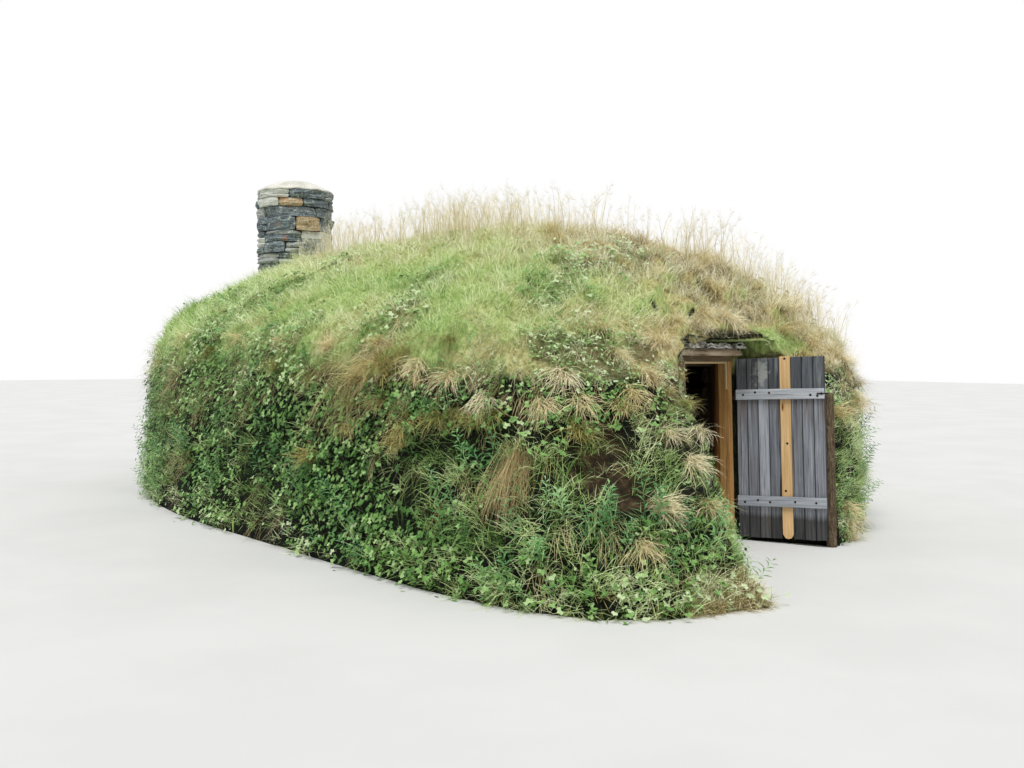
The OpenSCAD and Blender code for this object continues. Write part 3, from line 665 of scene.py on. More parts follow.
class Clump:
    def __init__(self, seed):
        self.dice = random.Random(seed)
        self.places, self.faces, self.along, self.across = [], [], [], []

    def point(self, place, along, across):
        self.places.append(place)
        self.along.append(along)
        self.across.append(across)
        return len(self.places) - 1

    def stem(self, root, turn, tilt, bend, length, rows):
        # points of a line that leans by tilt and bends on by bend, in degrees, toward turn
        line = [root]
        for i in range(rows):
            angle = math.radians(tilt + bend * (i + 0.5) / rows)
            way = Vector((math.sin(angle) * math.cos(turn), math.sin(angle) * math.sin(turn), math.cos(angle)))
            line.append(line[-1] + way * (length / rows))
        return line

    def ribbon(self, line, width, side, low=0.0, high=1.0):
        # a flat blade along a line, with a pointed end
        own = self.dice.uniform(-1.5, 1.5)
        rows, last = [], len(line) - 1
        for i, place in enumerate(line):
            share = i / last
            along = low + (high - low) * share
            half = side * width * (1 - share**2) ** 0.5 / 2
            if i < last:
                rows.append((self.point(place - half, along, own), self.point(place + half, along, own + 1)))
        tip = self.point(line[-1], high, own + 0.5)
        self.faces += [(a[0], a[1], b[1], b[0]) for a, b in zip(rows, rows[1:])]
        self.faces.append((rows[-1][0], rows[-1][1], tip))

    def leaf(self, base, aim, side, length, width):
        # a pointed leaf folded along its middle
        own = self.dice.uniform(-1.5, 1.5)
        lift = aim.cross(side).normalized() * width * growth["leafFold"]
        ring = []
        for s, t in ((0.0, 0.0), (0.45, 0.5), (1.0, 0.0), (0.45, -0.5)):
            place = base + aim * length * s + side * width * t + lift * abs(t) * 2
            ring.append(self.point(place, 0.35 + 0.65 * s, own + 0.5 + t))
        self.faces += [(ring[0], ring[1], ring[2]), (ring[0], ring[2], ring[3])]

    def grass(self, count, length, tilt, bend, rows=2, spread=0.02, toward=180, width=None):
        for _ in range(count):
            turn = math.radians(self.dice.uniform(-toward, toward))
            root = Vector((self.dice.gauss(0, spread), self.dice.gauss(0, spread), -0.015))
            size = length * self.dice.uniform(0.55, 1)
            line = self.stem(root, turn, self.dice.uniform(*tilt), self.dice.uniform(*bend), size, rows)
            twist = turn + self.dice.uniform(-0.7, 0.7)
            self.ribbon(line, width or growth["bladeWidth"], sideOf(twist))

    def seedStalk(self, length, tilt, bend, head, spikes):
        # a thin stalk with a loose seed head
        turn = math.radians(self.dice.uniform(-180, 180))
        root = Vector((self.dice.gauss(0, 0.02), self.dice.gauss(0, 0.02), -0.01))
        tilt, bend, size = self.dice.uniform(*tilt), self.dice.uniform(*bend), length * self.dice.uniform(0.65, 1)
        line = self.stem(root, turn, tilt, bend, size, 3)
        side = sideOf(turn)
        self.ribbon(line, growth["stalkWidth"], side, 0.2, 0.8)
        aim = (line[-1] - line[-2]).normalized()
        for i in range(spikes):
            spin = i * growth["spin"]
            out = side * math.cos(spin) + side.cross(aim) * math.sin(spin)
            start = line[-1] - aim * head * (0.9 - 0.8 * i / spikes)
            end = start + (aim + out * 0.45) * head * 0.5
            own = self.dice.uniform(0, 2)
            corners = (start, (start + end) / 2 + side.cross(out) * 0.006 + out * 0.003, end)
            self.faces.append(tuple(self.point(p, 0.9, own + k * 0.3) for k, p in enumerate(corners)))

    def trefoil(self, root, turn, tilt, stalk, size):
        # three leaflets at the end of a stalk
        line = self.stem(root, turn, tilt, 20, stalk, 1)
        self.ribbon(line, 0.004, sideOf(turn), 0.0, 0.4)
        for spin in (-1.15, 0.0, 1.15):
            aim = Vector((math.cos(turn + spin), math.sin(turn + spin), self.dice.uniform(-0.35, 0.45))).normalized()
            self.leaf(line[-1], aim, aim.cross(Vector((0, 0, 1))).normalized(), size, size)

    def herb(self, height, leaves, leafLength, leafWidth):
        # an upright stem with narrow leaves all the way up
        turn = self.dice.uniform(0, 6.28)
        tilt, size = self.dice.uniform(2, 14), height * self.dice.uniform(0.7, 1)
        line = self.stem(Vector((0, 0, -0.01)), turn, tilt, 10, size, 3)
        self.ribbon(line, 0.005, sideOf(turn), 0.2, 0.5)
        for i in range(leaves):
            share = (i + 1) / leaves * 2.999
            start = line[int(share)].lerp(line[int(share) + 1], share % 1)
            spin = i * growth["spin"]
            aim = Vector((math.cos(spin), math.sin(spin), 0.55)).normalized()
            side = sideOf(spin) * leafWidth / 2
            size = leafLength * (1.1 - 0.55 * i / leaves)
            own = self.dice.uniform(0, 1)
            middle = start + aim * size * 0.45
            tip = start + aim * size - Vector((0, 0, size * 0.2))
            corners = (start, middle + side, tip, middle - side)
            self.faces.append(tuple(self.point(p, 0.5 + 0.15 * k, own + k * 0.4) for k, p in enumerate(corners)))

    def done(self, name, collection):
        mesh = meshOf(name, self.places, self.faces, smooth=False)
        setNumbers(mesh, "along", self.along)
        setNumbers(mesh, "across", self.across)
        collection.objects.link(bpy.data.objects.new(name, mesh))


def library(name, count, fill, seed):
    # a collection of clumps, each made by fill(clump)
    collection = bpy.data.collections.new(name)
    for i in range(count):
        clump = Clump(seed * 100 + i)
        fill(clump)
        clump.done(name + str(i), collection)
    return collection


def growTree(name, collection, material, onFaces):
    keys = ("Density", "Upright", "Smallest", "Largest", "Downhill", "Tint shift", "Tint spread", "Seed")
    tree, inputs = nodeTree(name, *keys)
    graph = Graph(tree)
    given = graph.add("NodeGroupInput")
    seed = given.other("Seed")

    def named(key, kind="FLOAT"):
        return graph.add("GeometryNodeInputNamedAttribute", {"data_type": kind}, {"Name": key}, "Attribute")

    def chance(low, high, offset, kind="FLOAT"):
        values = {"Min": low, "Max": high, "Seed": seed + offset}
        return graph.add("FunctionNodeRandomValue", {"data_type": kind}, values)

    def stored(geometry, key, value, domain="INSTANCE", kind="FLOAT"):
        values = {"Geometry": geometry, "Name": key, "Value": value}
        return graph.add("GeometryNodeStoreNamedAttribute", {"data_type": kind, "domain": domain}, values)

    points, away = given, named("facing", "FLOAT_VECTOR")
    if onFaces:
        density = given.other("Density") * named("density")
        values = {"Mesh": given, "Selection": named("topside"), "Density": density, "Seed": seed}
        points = graph.add("GeometryNodeDistributePointsOnFaces", {"distribute_method": "RANDOM"}, values)
        away = points.other("Normal")
    up = given.other("Upright")
    primary = graph.add("ShaderNodeMix", {"data_type": "VECTOR"}, {0: up, 4: away, 5: (0, 0, 1)}, 1)
    wander = chance((-1, -1, -1), (1, 1, 1), 1, "FLOAT_VECTOR")
    fall = graph.add("ShaderNodeCombineXYZ", None, {"Z": 0 - given.other("Downhill")})
    turnValues = {"Primary Axis": primary, "Secondary Axis": wander + fall}
    turn = graph.add("FunctionNodeAxesToRotation", {"primary_axis": "Z", "secondary_axis": "X"}, turnValues)
    info = {"Collection": collection, "Separate Children": True, "Reset Children": True}
    source = graph.add("GeometryNodeCollectionInfo", {"transform_space": "ORIGINAL"}, info)
    size = chance(given.other("Smallest"), given.other("Largest"), 2) * named("vigour")
    values = {"Points": points, "Instance": source, "Pick Instance": True, "Rotation": turn, "Scale": size}
    placed = graph.add("GeometryNodeInstanceOnPoints", None, values)
    spread = given.other("Tint spread")
    tint = named("dryness") + given.other("Tint shift") + chance(0 - spread, spread, 3)
    placed = stored(placed, "tint", tint)
    placed = stored(placed, "clump", graph.add("GeometryNodeInputIndex"))
    real = graph.add("GeometryNodeRealizeInstances", None, {"Geometry": placed})
    edge = growth["mapMargin"]
    span = {3: edge, 4: 1 - edge}
    u = graph.add("ShaderNodeMapRange", None, {0: named("tint") + growth["bladeShift"] * named("across"), **span})
    v = graph.add("ShaderNodeMapRange", None, {0: named("along"), **span})
    spot = graph.add("ShaderNodeCombineXYZ", None, {"X": u, "Y": v})
    mapped = stored(real, "OFBake", spot, "CORNER", "FLOAT2")
    painted = graph.add("GeometryNodeSetMaterial", None, {"Geometry": mapped, "Material": material})
    graph.add("NodeGroupOutput", None, {"Geometry": painted})
    return tree, inputs


scratchLayers = (
    "tint", "clump", "along", "across", "dryness", "wall", "bare", "moss", "vigour", "topside", "density", "facing",
)


def grow(name, collection, material, ground, settings, density=None):
    # spreads clumps over a mesh and makes one plain piece of them
    if density is not None:
        setNumbers(ground, "density", density)
    tree, inputs = growTree(name, collection, material, density is not None)
    mesh = withNodes(ground, tree, inputs, settings)
    trimmed(mesh)
    for layer in [a.name for a in mesh.attributes]:
        if layer in scratchLayers:
            mesh.attributes.remove(mesh.attributes[layer])
    makePiece(name, mesh, material)
    triangles = sum(len(p.vertices) - 2 for p in mesh.polygons)
    print("stage:", name, triangles, "triangles")


# Finishes of the turf and of what grows on it

def colors(*stops):
    # the stops of a colour ramp, each a place from 0 to 1 and a colour as a screen shows it
    return [(place, paint(*color)) for place, color in stops]


def turfShade(graph):
    place = graph.place()
    soil, thatch = graph.noise(place, 9, 6, 0.7), graph.noise(graph.scaled(place, 30, 30, 12), 1, 4, 0.7)
    dry = graph.level(graph.attribute("dryness") + 0.5 * graph.noise(place, 2.5), 0.5, 1.0)
    humus = graph.ramp(soil, *colors(
        (0.3, (28, 23, 16)), (0.5, (62, 51, 36)), (0.62, (98, 80, 58)), (0.75, (140, 124, 94))))
    green = graph.ramp(thatch, *colors((0.3, (114, 138, 74)), (0.5, (176, 204, 122)), (0.7, (218, 234, 164))))
    straw = graph.ramp(thatch, *colors((0.3, (122, 108, 62)), (0.5, (196, 180, 124)), (0.7, (234, 222, 174))))
    shade = graph.ramp(thatch, *colors(
        (0.38, (9, 13, 7)), (0.54, (22, 28, 14)), (0.68, (50, 58, 29)), (0.8, (96, 98, 56))))
    # painted shade: where the skin's shade share is high it takes the dark shade colours
    color = graph.mix(graph.level(graph.attribute("wall"), 0.25, 0.8), graph.mix(dry, green, straw), shade)
    color = graph.mix(graph.level(graph.attribute("moss"), 0.1, 0.7), color, straw * (0.55, 0.6, 0.4))
    color = graph.mix(graph.level(graph.attribute("bare") + 0.5 * soil, 0.4, 0.9), color, humus)
    height = graph.noise(graph.scaled(place, 40, 40, 20), 1, 5, 0.75) + 0.6 * soil
    return {"Base Color": color, "Roughness": 0.95, "Specular IOR Level": 0.2, "Normal": graph.bump(height, 0.8, 0.03)}


def plantShade(dark, *stops):
    # colours along the map: its first direction picks the clump's tint, its second runs from root to tip
    def shade(graph):
        spot = graph.add("ShaderNodeUVMap", {"uv_map": "OFBake"})
        parts = graph.add("ShaderNodeSeparateXYZ", None, {"Vector": spot})
        fleck = graph.noise(graph.scaled(spot, 90, 14, 1), 1, 2)
        tint = parts + 0.08 * (fleck - 0.5)
        # painted shade: each blade and leaf darker toward its root, where the clump shades itself
        rise = graph.ramp(parts.other("Y"), (0, dark + (1,)), (0.4, (0.9, 0.9, 0.86, 1)), (1, (1, 1, 1, 1)))
        color = graph.ramp(tint, *colors(*stops)) * rise
        return {"Base Color": color, "Roughness": 0.5, "Specular IOR Level": 0.4}
    return shade


turfFinish = makeMaterial("turf", "turf", turfShade)
# each plant's painted shade at its root, then its colours from the darkest clump to the palest
plants = {
    "grassBlades": ((0.85, 0.85, 0.72), (0.0, (80, 122, 52)), (0.15, (158, 198, 110)), (0.32, (228, 249, 178)),
                    (0.55, (246, 253, 212)), (0.8, (252, 247, 216)), (1.0, (252, 247, 226))),
    "hangingGrass": ((0.5, 0.47, 0.36), (0.0, (112, 138, 68)), (0.25, (164, 166, 100)), (0.5, (200, 182, 130)),
                     (0.75, (238, 222, 178)), (1.0, (248, 240, 212))),
    # leaves differ in colour from clump to clump; the palest colours also serve as painted highlight, the sky's sheen
    # on the leaves
    "leaves": ((0.2, 0.24, 0.15), (0.0, (42, 80, 32)), (0.3, (80, 130, 54)), (0.6, (130, 176, 92)),
               (0.85, (182, 214, 146)), (1.0, (218, 234, 192))),
    "tussockGrass": ((0.4, 0.35, 0.22), (0.0, (122, 134, 66)), (0.25, (196, 184, 112)), (0.5, (232, 214, 154)),
                     (0.75, (250, 236, 192)), (1.0, (253, 246, 220))),
    "herbLeaves": ((0.3, 0.36, 0.26), (0.0, (46, 92, 50)), (0.4, (92, 150, 88)), (0.7, (140, 192, 126)),
                   (1.0, (190, 222, 172))),
    "oldGrass": ((0.3, 0.26, 0.18), (0.0, (118, 98, 58)), (0.4, (176, 152, 102)), (0.7, (212, 190, 140)),
                 (1.0, (238, 220, 176))),
}
plantFinish = {name: makeMaterial(name, "turf", plantShade(*looks)) for name, looks in plants.items()}

makePiece("turf_skin", skin, turfFinish, replaces=turfNodes)

# Libraries of clumps

def fillSward(clump):
    clump.grass(9, 0.25, (5, 50), (30, 85), spread=0.035, toward=120)
    clump.grass(12, 0.16, (15, 75), (0, 0), rows=1, spread=0.04, toward=150)


def fillDrooping(clump):
    clump.grass(14, 0.42, (35, 75), (20, 60), rows=3, toward=17, spread=0.05, width=growth["fineBlade"])


def fillTussock(clump):
    # a mop: short straight blades in its middle, long ones that fall over all round it
    width = growth["thickBlade"]
    clump.grass(90, 0.34, (10, 60), (55, 105), rows=3, spread=0.045, toward=60, width=width)
    clump.grass(50, 0.17, (10, 75), (0, 0), rows=1, spread=0.045, toward=90, width=width)


def fillLongHair(clump):
    clump.grass(110, 0.8, (50, 88), (10, 40), rows=4, spread=0.05, toward=14, width=growth["fineBlade"])


def fillStalks(clump):
    for _ in range(3):
        clump.seedStalk(0.42, (0, 18), (5, 45), head=0.08, spikes=6)


def fillTrefoils(clump):
    dice = clump.dice
    for _ in range(3):
        root = Vector((dice.gauss(0, 0.05), dice.gauss(0, 0.05), -0.01))
        turn, tilt = dice.uniform(0, 6.28), dice.uniform(5, 50)
        clump.trefoil(root, turn, tilt, dice.uniform(0.03, 0.12), dice.uniform(0.02, 0.04))


def fillHerbs(clump):
    clump.herb(0.42, 24, 0.11, 0.016)


def fillToe(clump):
    clump.herb(0.1, 9, 0.042, 0.022)
    clump.grass(5, 0.12, (10, 50), (10, 60))


def fillCushion(clump):
    clump.grass(26, 0.12, (5, 70), (10, 60), rows=1, spread=0.035, width=0.006)


# Growth spread over the skin: each kind is named after its zone, and has its clumps' name, number, form and seed, its
# finish, and then what the manners say, in their order

frontY = doorY + 1.4
parts = {"left": (x < 0) & (y > frontY), "right": (x >= 0) & (y > frontY), "front": y <= frontY}
manners = ("Density", "Upright", "Smallest", "Largest", "Downhill", "Tint shift", "Tint spread")
sorts = {
    "sward": ("sward", 10, fillSward, 1, "grassBlades", (160.0, 0.5, 0.6, 1.15, 1.0, 0.0, 0.2)),
    "hanging": ("drooping", 8, fillDrooping, 2, "hangingGrass", (110.0, 0.1, 0.5, 1.1, 4.0, 0.12, 0.3)),
    "tussocky": ("tussock", 5, fillTussock, 3, "tussockGrass", (17.0, 0.6, 0.65, 1.25, 2.5, 0.02, 0.25)),
    "hairy": ("longHair", 3, fillLongHair, 4, "oldGrass", (0.0, 0.1, 0.6, 0.95, 9.0, 0.1, 0.3)),
    "stalky": ("stalks", 8, fillStalks, 5, "hangingGrass", (130.0, 0.85, 0.8, 1.4, 0.2, 0.35, 0.2)),
    "leafy": ("trefoils", 9, fillTrefoils, 6, "leaves", (270.0, 0.35, 0.7, 1.15, 0.6, 0.32, 0.4)),
    "herby": ("herbs", 5, fillHerbs, 7, "herbLeaves", (34.0, 0.6, 0.5, 1.0, 0.4, 0.3, 0.3)),
    "mossy": ("cushion", 6, fillCushion, 9, "hangingGrass", (420.0, 0.5, 0.7, 1.3, 0.3, -0.1, 0.2)),
    "low": ("toeLeaves", 6, fillToe, 8, "leaves", (60.0, 0.5, 0.7, 1.3, 0.3, 0.2, 0.3)),
}
libraries = {key: library(name, count, fill, seed) for key, (name, count, fill, seed, _, _) in sorts.items()}


def growSort(name, key, seed, ground, density=None, **changed):
    finish, settings = sorts[key][4:]
    settings = {**dict(zip(manners, settings)), **changed, "Seed": seed}
    grow(name, libraries[key], plantFinish[finish], ground, settings, density)


for seed, (part, where) in enumerate(parts.items()):
    for name, key in (("grass_", "sward"), ("hanging_", "hanging"), ("leaves_", "leafy"), ("herbs_", "herby")):
        growSort(name + part, key, seed, skin.copy(), zones[key] * where)
wholes = (("stalks", "stalky", 5), ("toe_leaves", "low", 6), ("moss_grass", "mossy", 11), ("tussocks", "tussocky", 7))
for name, key, seed in wholes:
    growSort(name, key, seed, skin.copy(), zones[key])

# single plants that the photo shows, at its pixels

plantSpots = {
    "tussock": [
        (644, 374), (579, 399), (665, 433), (697, 430), (688, 460), (667, 507), (612, 352), (628, 392), (560, 372),
        (600, 330), (655, 340), (672, 322), (700, 312), (725, 318), (742, 308), (845, 372), (851, 392), (842, 360),
        (540, 400), (486, 398), (452, 376), (420, 362), (380, 352), (330, 346), (286, 340), (244, 336), (704, 505),
        (802, 340), (810, 344), (818, 348), (826, 354),
        (843, 505), (845, 520), (846, 534), (655, 505), (640, 545),
    ],
    "longHair": [(512, 444), (522, 450)],
    "herb": [
        (190, 460), (204, 470), (216, 482), (228, 468), (240, 478), (252, 488), (264, 470), (276, 480), (288, 492),
        (250, 410), (262, 402), (300, 505), (314, 500), (330, 520), (205, 442), (236, 446), (268, 444), (372, 450),
        (386, 446), (400, 440), (424, 430), (436, 436), (448, 430), (444, 562), (456, 566), (468, 560), (586, 550),
        (596, 554), (606, 548), (646, 530), (656, 534), (666, 528), (350, 540), (540, 580), (520, 560), (690, 560),
    ],
}


def spotMesh(name, spots):
    found = [seenOn(skinTree, spot) for spot in spots]
    found = [(place, faces) for place, faces in found if place]
    mesh = meshOf(name, [place for place, _ in found], [])
    setNumbers(mesh, "facing", [tuple(faces) for _, faces in found], "FLOAT_VECTOR")
    setNumbers(mesh, "dryness", [0.35] * len(found))
    setNumbers(mesh, "vigour", [1.0] * len(found))
    return mesh


single = {"Upright": 0.3, "Smallest": 0.6, "Largest": 0.95, "Downhill": 3.0, "Tint shift": 0.35, "Tint spread": 0.2}
growSort("tussocks_door", "tussocky", 8, spotMesh("tussockSpots", plantSpots["tussock"]), **single)
growSort("long_hair", "hairy", 9, spotMesh("hairSpots", plantSpots["longHair"]))
upright = {"Upright": 0.9, "Smallest": 0.8, "Largest": 1.2, "Downhill": 0.0, "Tint shift": 0.0, "Tint spread": 0.15}
growSort("herbs", "herby", 10, spotMesh("herbSpots", plantSpots["herb"]), **upright)


# Timber: boards gathered into one mesh, each with its own grain and tint

# the grain runs along the third of these directions
grainOrder = {"X": (2, 1, 0), "Y": (0, 2, 1), "Z": (0, 1, 2)}


class Timber:
    def __init__(self):
        self.places, self.faces, self.grain, self.tint, self.rim = [], [], [], [], []

    def take(self, bm, matrix, axis, seed, tint, rim):
        first = len(self.places)
        order = grainOrder[axis]
        shift = (seed * 0.37 % 5, seed * 0.83 % 5, seed * 1.31 % 5)
        for vert in bm.verts:
            self.places.append(matrix @ vert.co)
            self.grain.append([vert.co[k] + s for k, s in zip(order, shift)])
            self.tint.append(tint)
        self.rim += rim
        self.faces += [tuple(v.index + first for v in face.verts) for face in bm.faces]
        bm.free()

    def board(self, low, high, matrix, seed, axis="Z", edge=0.003, wear=0.0012, ends=0.0, slices=14, cup=0.0,
              rounded=0.0):
        # a sawn board with broken edges; its ends may be uneven, its low end rounded and its face cupped
        dice = random.Random(seed)
        bm = bmesh.new()
        bmesh.ops.create_cube(bm, size=1)
        size, middle = high - low, (high + low) / 2
        for vert in bm.verts:
            vert.co = Vector(c * s for c, s in zip(vert.co, size)) + middle
        bmesh.ops.bevel(bm, geom=bm.edges[:], offset=edge, segments=2, affect="EDGES", profile=0.6)
        k = "XYZ".index(axis)
        wide = max((i for i in range(3) if i != k), key=lambda i: size[i])
        for direction, count in ((k, slices), (wide, 4)):
            normal = Vector([float(i == direction) for i in range(3)])
            for i in range(1, count):
                point = middle + normal * size[direction] * (i / count - 0.5)
                whole = bm.verts[:] + bm.edges[:] + bm.faces[:]
                bmesh.ops.bisect_plane(bm, geom=whole, plane_co=point, plane_no=normal)
        bm.normal_update()
        thin = 3 - k - wide
        shift = Vector((seed * 1.7, seed * 2.9, seed * 0.7))
        moves, rim = [], []
        for vert in bm.verts:
            share = (vert.co[k] - middle[k]) / size[k] * 2
            rough = noise.noise(vert.co * 9 + shift) + 0.5 * noise.noise(vert.co * 31 + shift)
            move = vert.normal * rough * wear
            across = (vert.co[wide] - middle[wide]) / size[wide] * 2
            move[thin] += cup * (across * across - 0.5)
            # the band along each long edge, darkened in the finish as painted shade in the gaps between boards
            rim.append(float(abs(across) > 0.85))
            if share < -0.9:
                move[k] += rounded * abs(across) ** 3
            if ends and abs(share) > 0.8:
                cut = noise.noise(Vector((vert.co[wide] * 14, share, seed))) * ends
                move[k] += cut - abs(cut) * math.copysign(0.4, share)
            moves.append(move)
        for vert, move in zip(bm.verts, moves):
            vert.co += move
        self.take(bm, matrix, axis, seed, dice.random(), rim)

    def piece(self, name, material, body="house", replaces=(), smooth=False):
        mesh = meshOf(name, self.places, self.faces, smooth)
        setNumbers(mesh, "grain", self.grain, "FLOAT_VECTOR")
        setNumbers(mesh, "tint", self.tint)
        setNumbers(mesh, "rim", self.rim)
        return makePiece(name, mesh, material, body, replaces)


def looseBoxes(name, matrix):
    # the corners of each separate solid of a CAD node, in the frame that the matrix gives
    bm = merged([name])
    bmesh.ops.remove_doubles(bm, verts=bm.verts, dist=0.00002)
    bm.transform(matrix.inverted())
    boxes, waiting = [], set(bm.verts)
    while waiting:
        group, edge = set(), [waiting.pop()]
        while edge:
            vert = edge.pop()
            group.add(vert)
            near = {e.other_vert(vert) for e in vert.link_edges} & waiting
            waiting -= near
            edge += near
        sides = [[vert.co[i] for vert in group] for i in range(3)]
        boxes.append((Vector([min(side) for side in sides]), Vector([max(side) for side in sides])))
    bm.free()
    return sorted(boxes, key=lambda box: tuple(round(v, 4) for v in box[0]))


doorFrame = Matrix.Translation(hinge) @ Matrix.Rotation(-math.atan(lean), 4, "X")
leafFrame = doorFrame @ Matrix.Rotation(math.radians(-swing["range_deg"][0]), 4, "Z")


def woodShade(dark, middle, light, stain, stainShare, split, extra=None):
    # fibres run along the grain's third direction
    def shade(graph):
        grain, tint = graph.attribute("grain", "Vector"), graph.attribute("tint")
        fibre = graph.noise(graph.scaled(grain, 60, 60, 2.4), 1, 6, 0.65, 0.4)
        line = graph.noise(graph.scaled(grain, 210, 210, 3.5), 1, 3, 0.6)
        tone = 0.55 * fibre + 0.3 * line + 0.22 * tint
        color = graph.ramp(tone, *colors((0.32, dark), (0.52, middle), (0.72, light)))
        blotch = graph.level(graph.noise(graph.scaled(grain, 9, 9, 2.2), 1, 4, 0.6), 0.5, 0.72)
        color = graph.mix(blotch * stainShare, color, paint(*stain))
        crack = graph.level(graph.noise(graph.scaled(grain, 75, 75, 1.1), 1, 3, 0.5, 0.3), 0.63, 0.67) * split
        color = graph.mix(crack, color, paint(30, 26, 22))
        if extra:
            color = extra(graph, color, fibre)
        # painted shade along each board's long edges, where the gaps between boards lie
        rim = graph.level(graph.attribute("rim") + 0.25 * (fibre - 0.5), 0.84, 1.0)
        color = graph.mix(rim * split, color, color * (0.25, 0.24, 0.24))
        relief = graph.bump(0.5 * fibre + 0.5 * line - 1.2 * crack, 0.7, 0.0035)
        rough = 0.72 + 0.2 * fibre
        return {"Base Color": color, "Roughness": rough, "Specular IOR Level": 0.25, "Normal": relief}
    return shade


leafStain = {"wetFrom": 1.315, "wetTo": 1.345, "lowFrom": 0.3, "lowTo": 0.22, "runsFrom": 1.0, "runsTo": 1.25}
paleSpot = leafFrame @ Vector((-0.235, -0.03, 1.47))
paleSpot.z *= 0.45


def leafWeather(graph, color, fibre):
    # wet above the upper ledge, dark and brown below the lower one, brown runs under the upper ledge's nails
    def spread(scale, low, high, detail=4):
        return graph.level(graph.noise(graph.scaled(place, *scale), 1, detail), low, high)

    place = graph.place()
    apart = graph.add("ShaderNodeSeparateXYZ", None, {"Vector": place})
    z = apart.other("Z") + 0.1 * (fibre - 0.5)
    drip = spread((14, 14, 2.2), 0.52, 0.66)
    wet = graph.mix(drip * 0.5, color * (0.44, 0.46, 0.46), paint(160, 164, 162))
    low = graph.mix(drip * 0.5, color * (0.22, 0.21, 0.19), paint(96, 88, 74))
    runs = graph.level(z, leafStain["runsFrom"], leafStain["runsTo"]) * spread((26, 26, 1), 0.48, 0.62, 3)
    streak = spread((30, 30, 0.8), 0.58, 0.7) * 0.45
    color = graph.mix(streak, color, paint(86, 86, 92))
    color = graph.mix(runs * 0.75, color, paint(108, 82, 62))
    color = graph.mix(graph.level(z, leafStain["wetFrom"], leafStain["wetTo"]), color, wet)
    color = graph.mix(1 - graph.level(z, leafStain["lowTo"], leafStain["lowFrom"]), color, low)
    # a chalky stain on the second and third plank from the hinge, near the top
    values = {0: graph.scaled(place, 1, 1, 0.45), 1: paleSpot}
    away = graph.add("ShaderNodeVectorMath", {"operation": "DISTANCE"}, values, "Value")
    away = away + 0.22 * (graph.noise(place, 20, 4, 0.7) - 0.5) + 0.05 * fibre
    return graph.mix((1 - graph.level(away, 0.06, 0.1)) * 0.8, color, paint(186, 188, 184))


def knots(graph, color, fibre):
    spots = graph.cells(graph.scaled(graph.attribute("grain", "Vector"), 12, 12, 3.2), 1)
    return graph.mix(1 - graph.level(spots, 0.08, 0.16), color, paint(130, 84, 46))


def inward(graph, color, fibre):
    # painted shade: darker toward the room
    deep = graph.add("ShaderNodeSeparateXYZ", None, {"Vector": graph.place()}, "Y")
    share = graph.level(deep, hinge.y + 0.17, hinge.y + 0.23)
    return graph.mix(share, color * (0.6, 0.56, 0.5), color * (0.05, 0.045, 0.04))


# each wood: its slot, the dark, middle and light of its fibres, its stain and the stain's share, how split it is
jambWood = ((160, 108, 56), (224, 166, 98), (244, 200, 136), (140, 98, 58), 0.4, 0.5)
woods = {
    "weatheredPlanks": ("weathered_planks", (84, 86, 92), (142, 146, 154), (200, 204, 214), (124, 112, 104), 0.3, 0.9,
                        leafWeather),
    "ledges": ("weathered_planks", (130, 134, 142), (196, 202, 210), (238, 242, 246), (148, 138, 126), 0.25, 0.6),
    "newPine": ("new_pine", (214, 170, 116), (248, 212, 158), (254, 232, 192), (214, 168, 114), 0.3, 0.2, knots),
    "stopStrips": ("new_pine", (180, 146, 100), (226, 200, 150), (244, 226, 188), (170, 128, 84), 0.3, 0.3, knots),
    "jambs": ("frame_wood", *jambWood),
    "revealBoards": ("frame_wood", *jambWood, inward),
    # dark frame wood: on the left post and the left reveal board it is painted shade
    "doorHead": ("frame_wood", (60, 50, 38), (112, 94, 70), (160, 138, 106), (70, 56, 42), 0.4, 0.6),
    "lintelLog": ("log_wood", (104, 86, 68), (196, 176, 148), (240, 226, 200), (128, 100, 74), 0.35, 0.7),
}
woodFinish = {name: makeMaterial(name, slot, woodShade(*looks)) for name, (slot, *looks) in woods.items()}
print("stage: wood finishes")


# Door leaf: eight planks, one of them new, two ledges and their nails

leaf = {
    "plankEdge": 0.0035,
    "cup": 0.0015,  # how far a plank's face is cupped, m
    "uneven": 0.006,  # how uneven the planks' ends are, m
    "nailHead": 0.0115,  # radius
    "nailProud": 0.003,
    "nailWander": 0.02,
    # nails in the leaf's own frame: metres from the hinge, height
    "upperNails": (-0.761, -0.727, -0.668, -0.313, -0.189, -0.081),
    "lowerNails": (-0.698, -0.519, -0.301, -0.194, -0.078),
    "newNails": (1.585, 0.853, 0.443),
}

planks = Timber()
for i, (low, high) in enumerate(looseBoxes("door_planks", leafFrame)):
    planks.board(low, high, leafFrame, 11 + i, edge=leaf["plankEdge"], ends=leaf["uneven"], cup=leaf["cup"], slices=22)
planks.piece("leaf_planks", woodFinish["weatheredPlanks"], "leaf", ["door_planks"])
freshBoxes = looseBoxes("new_plank", leafFrame)
fresh = Timber()
for i, (low, high) in enumerate(freshBoxes):
    fresh.board(low, high, leafFrame, 31 + i, edge=0.004, ends=0.003, slices=22, rounded=0.045)
fresh.piece("leaf_new_plank", woodFinish["newPine"], "leaf", ["new_plank"])
for name, seed in (("upper_ledge", 41), ("lower_ledge", 43)):
    ledge = Timber()
    for low, high in looseBoxes(name, leafFrame):
        ledge.board(low, high, leafFrame, seed, axis="X", edge=0.008, wear=0.0016, slices=26)
    ledge.piece("leaf_" + name, woodFinish["ledges"], "leaf", [name])


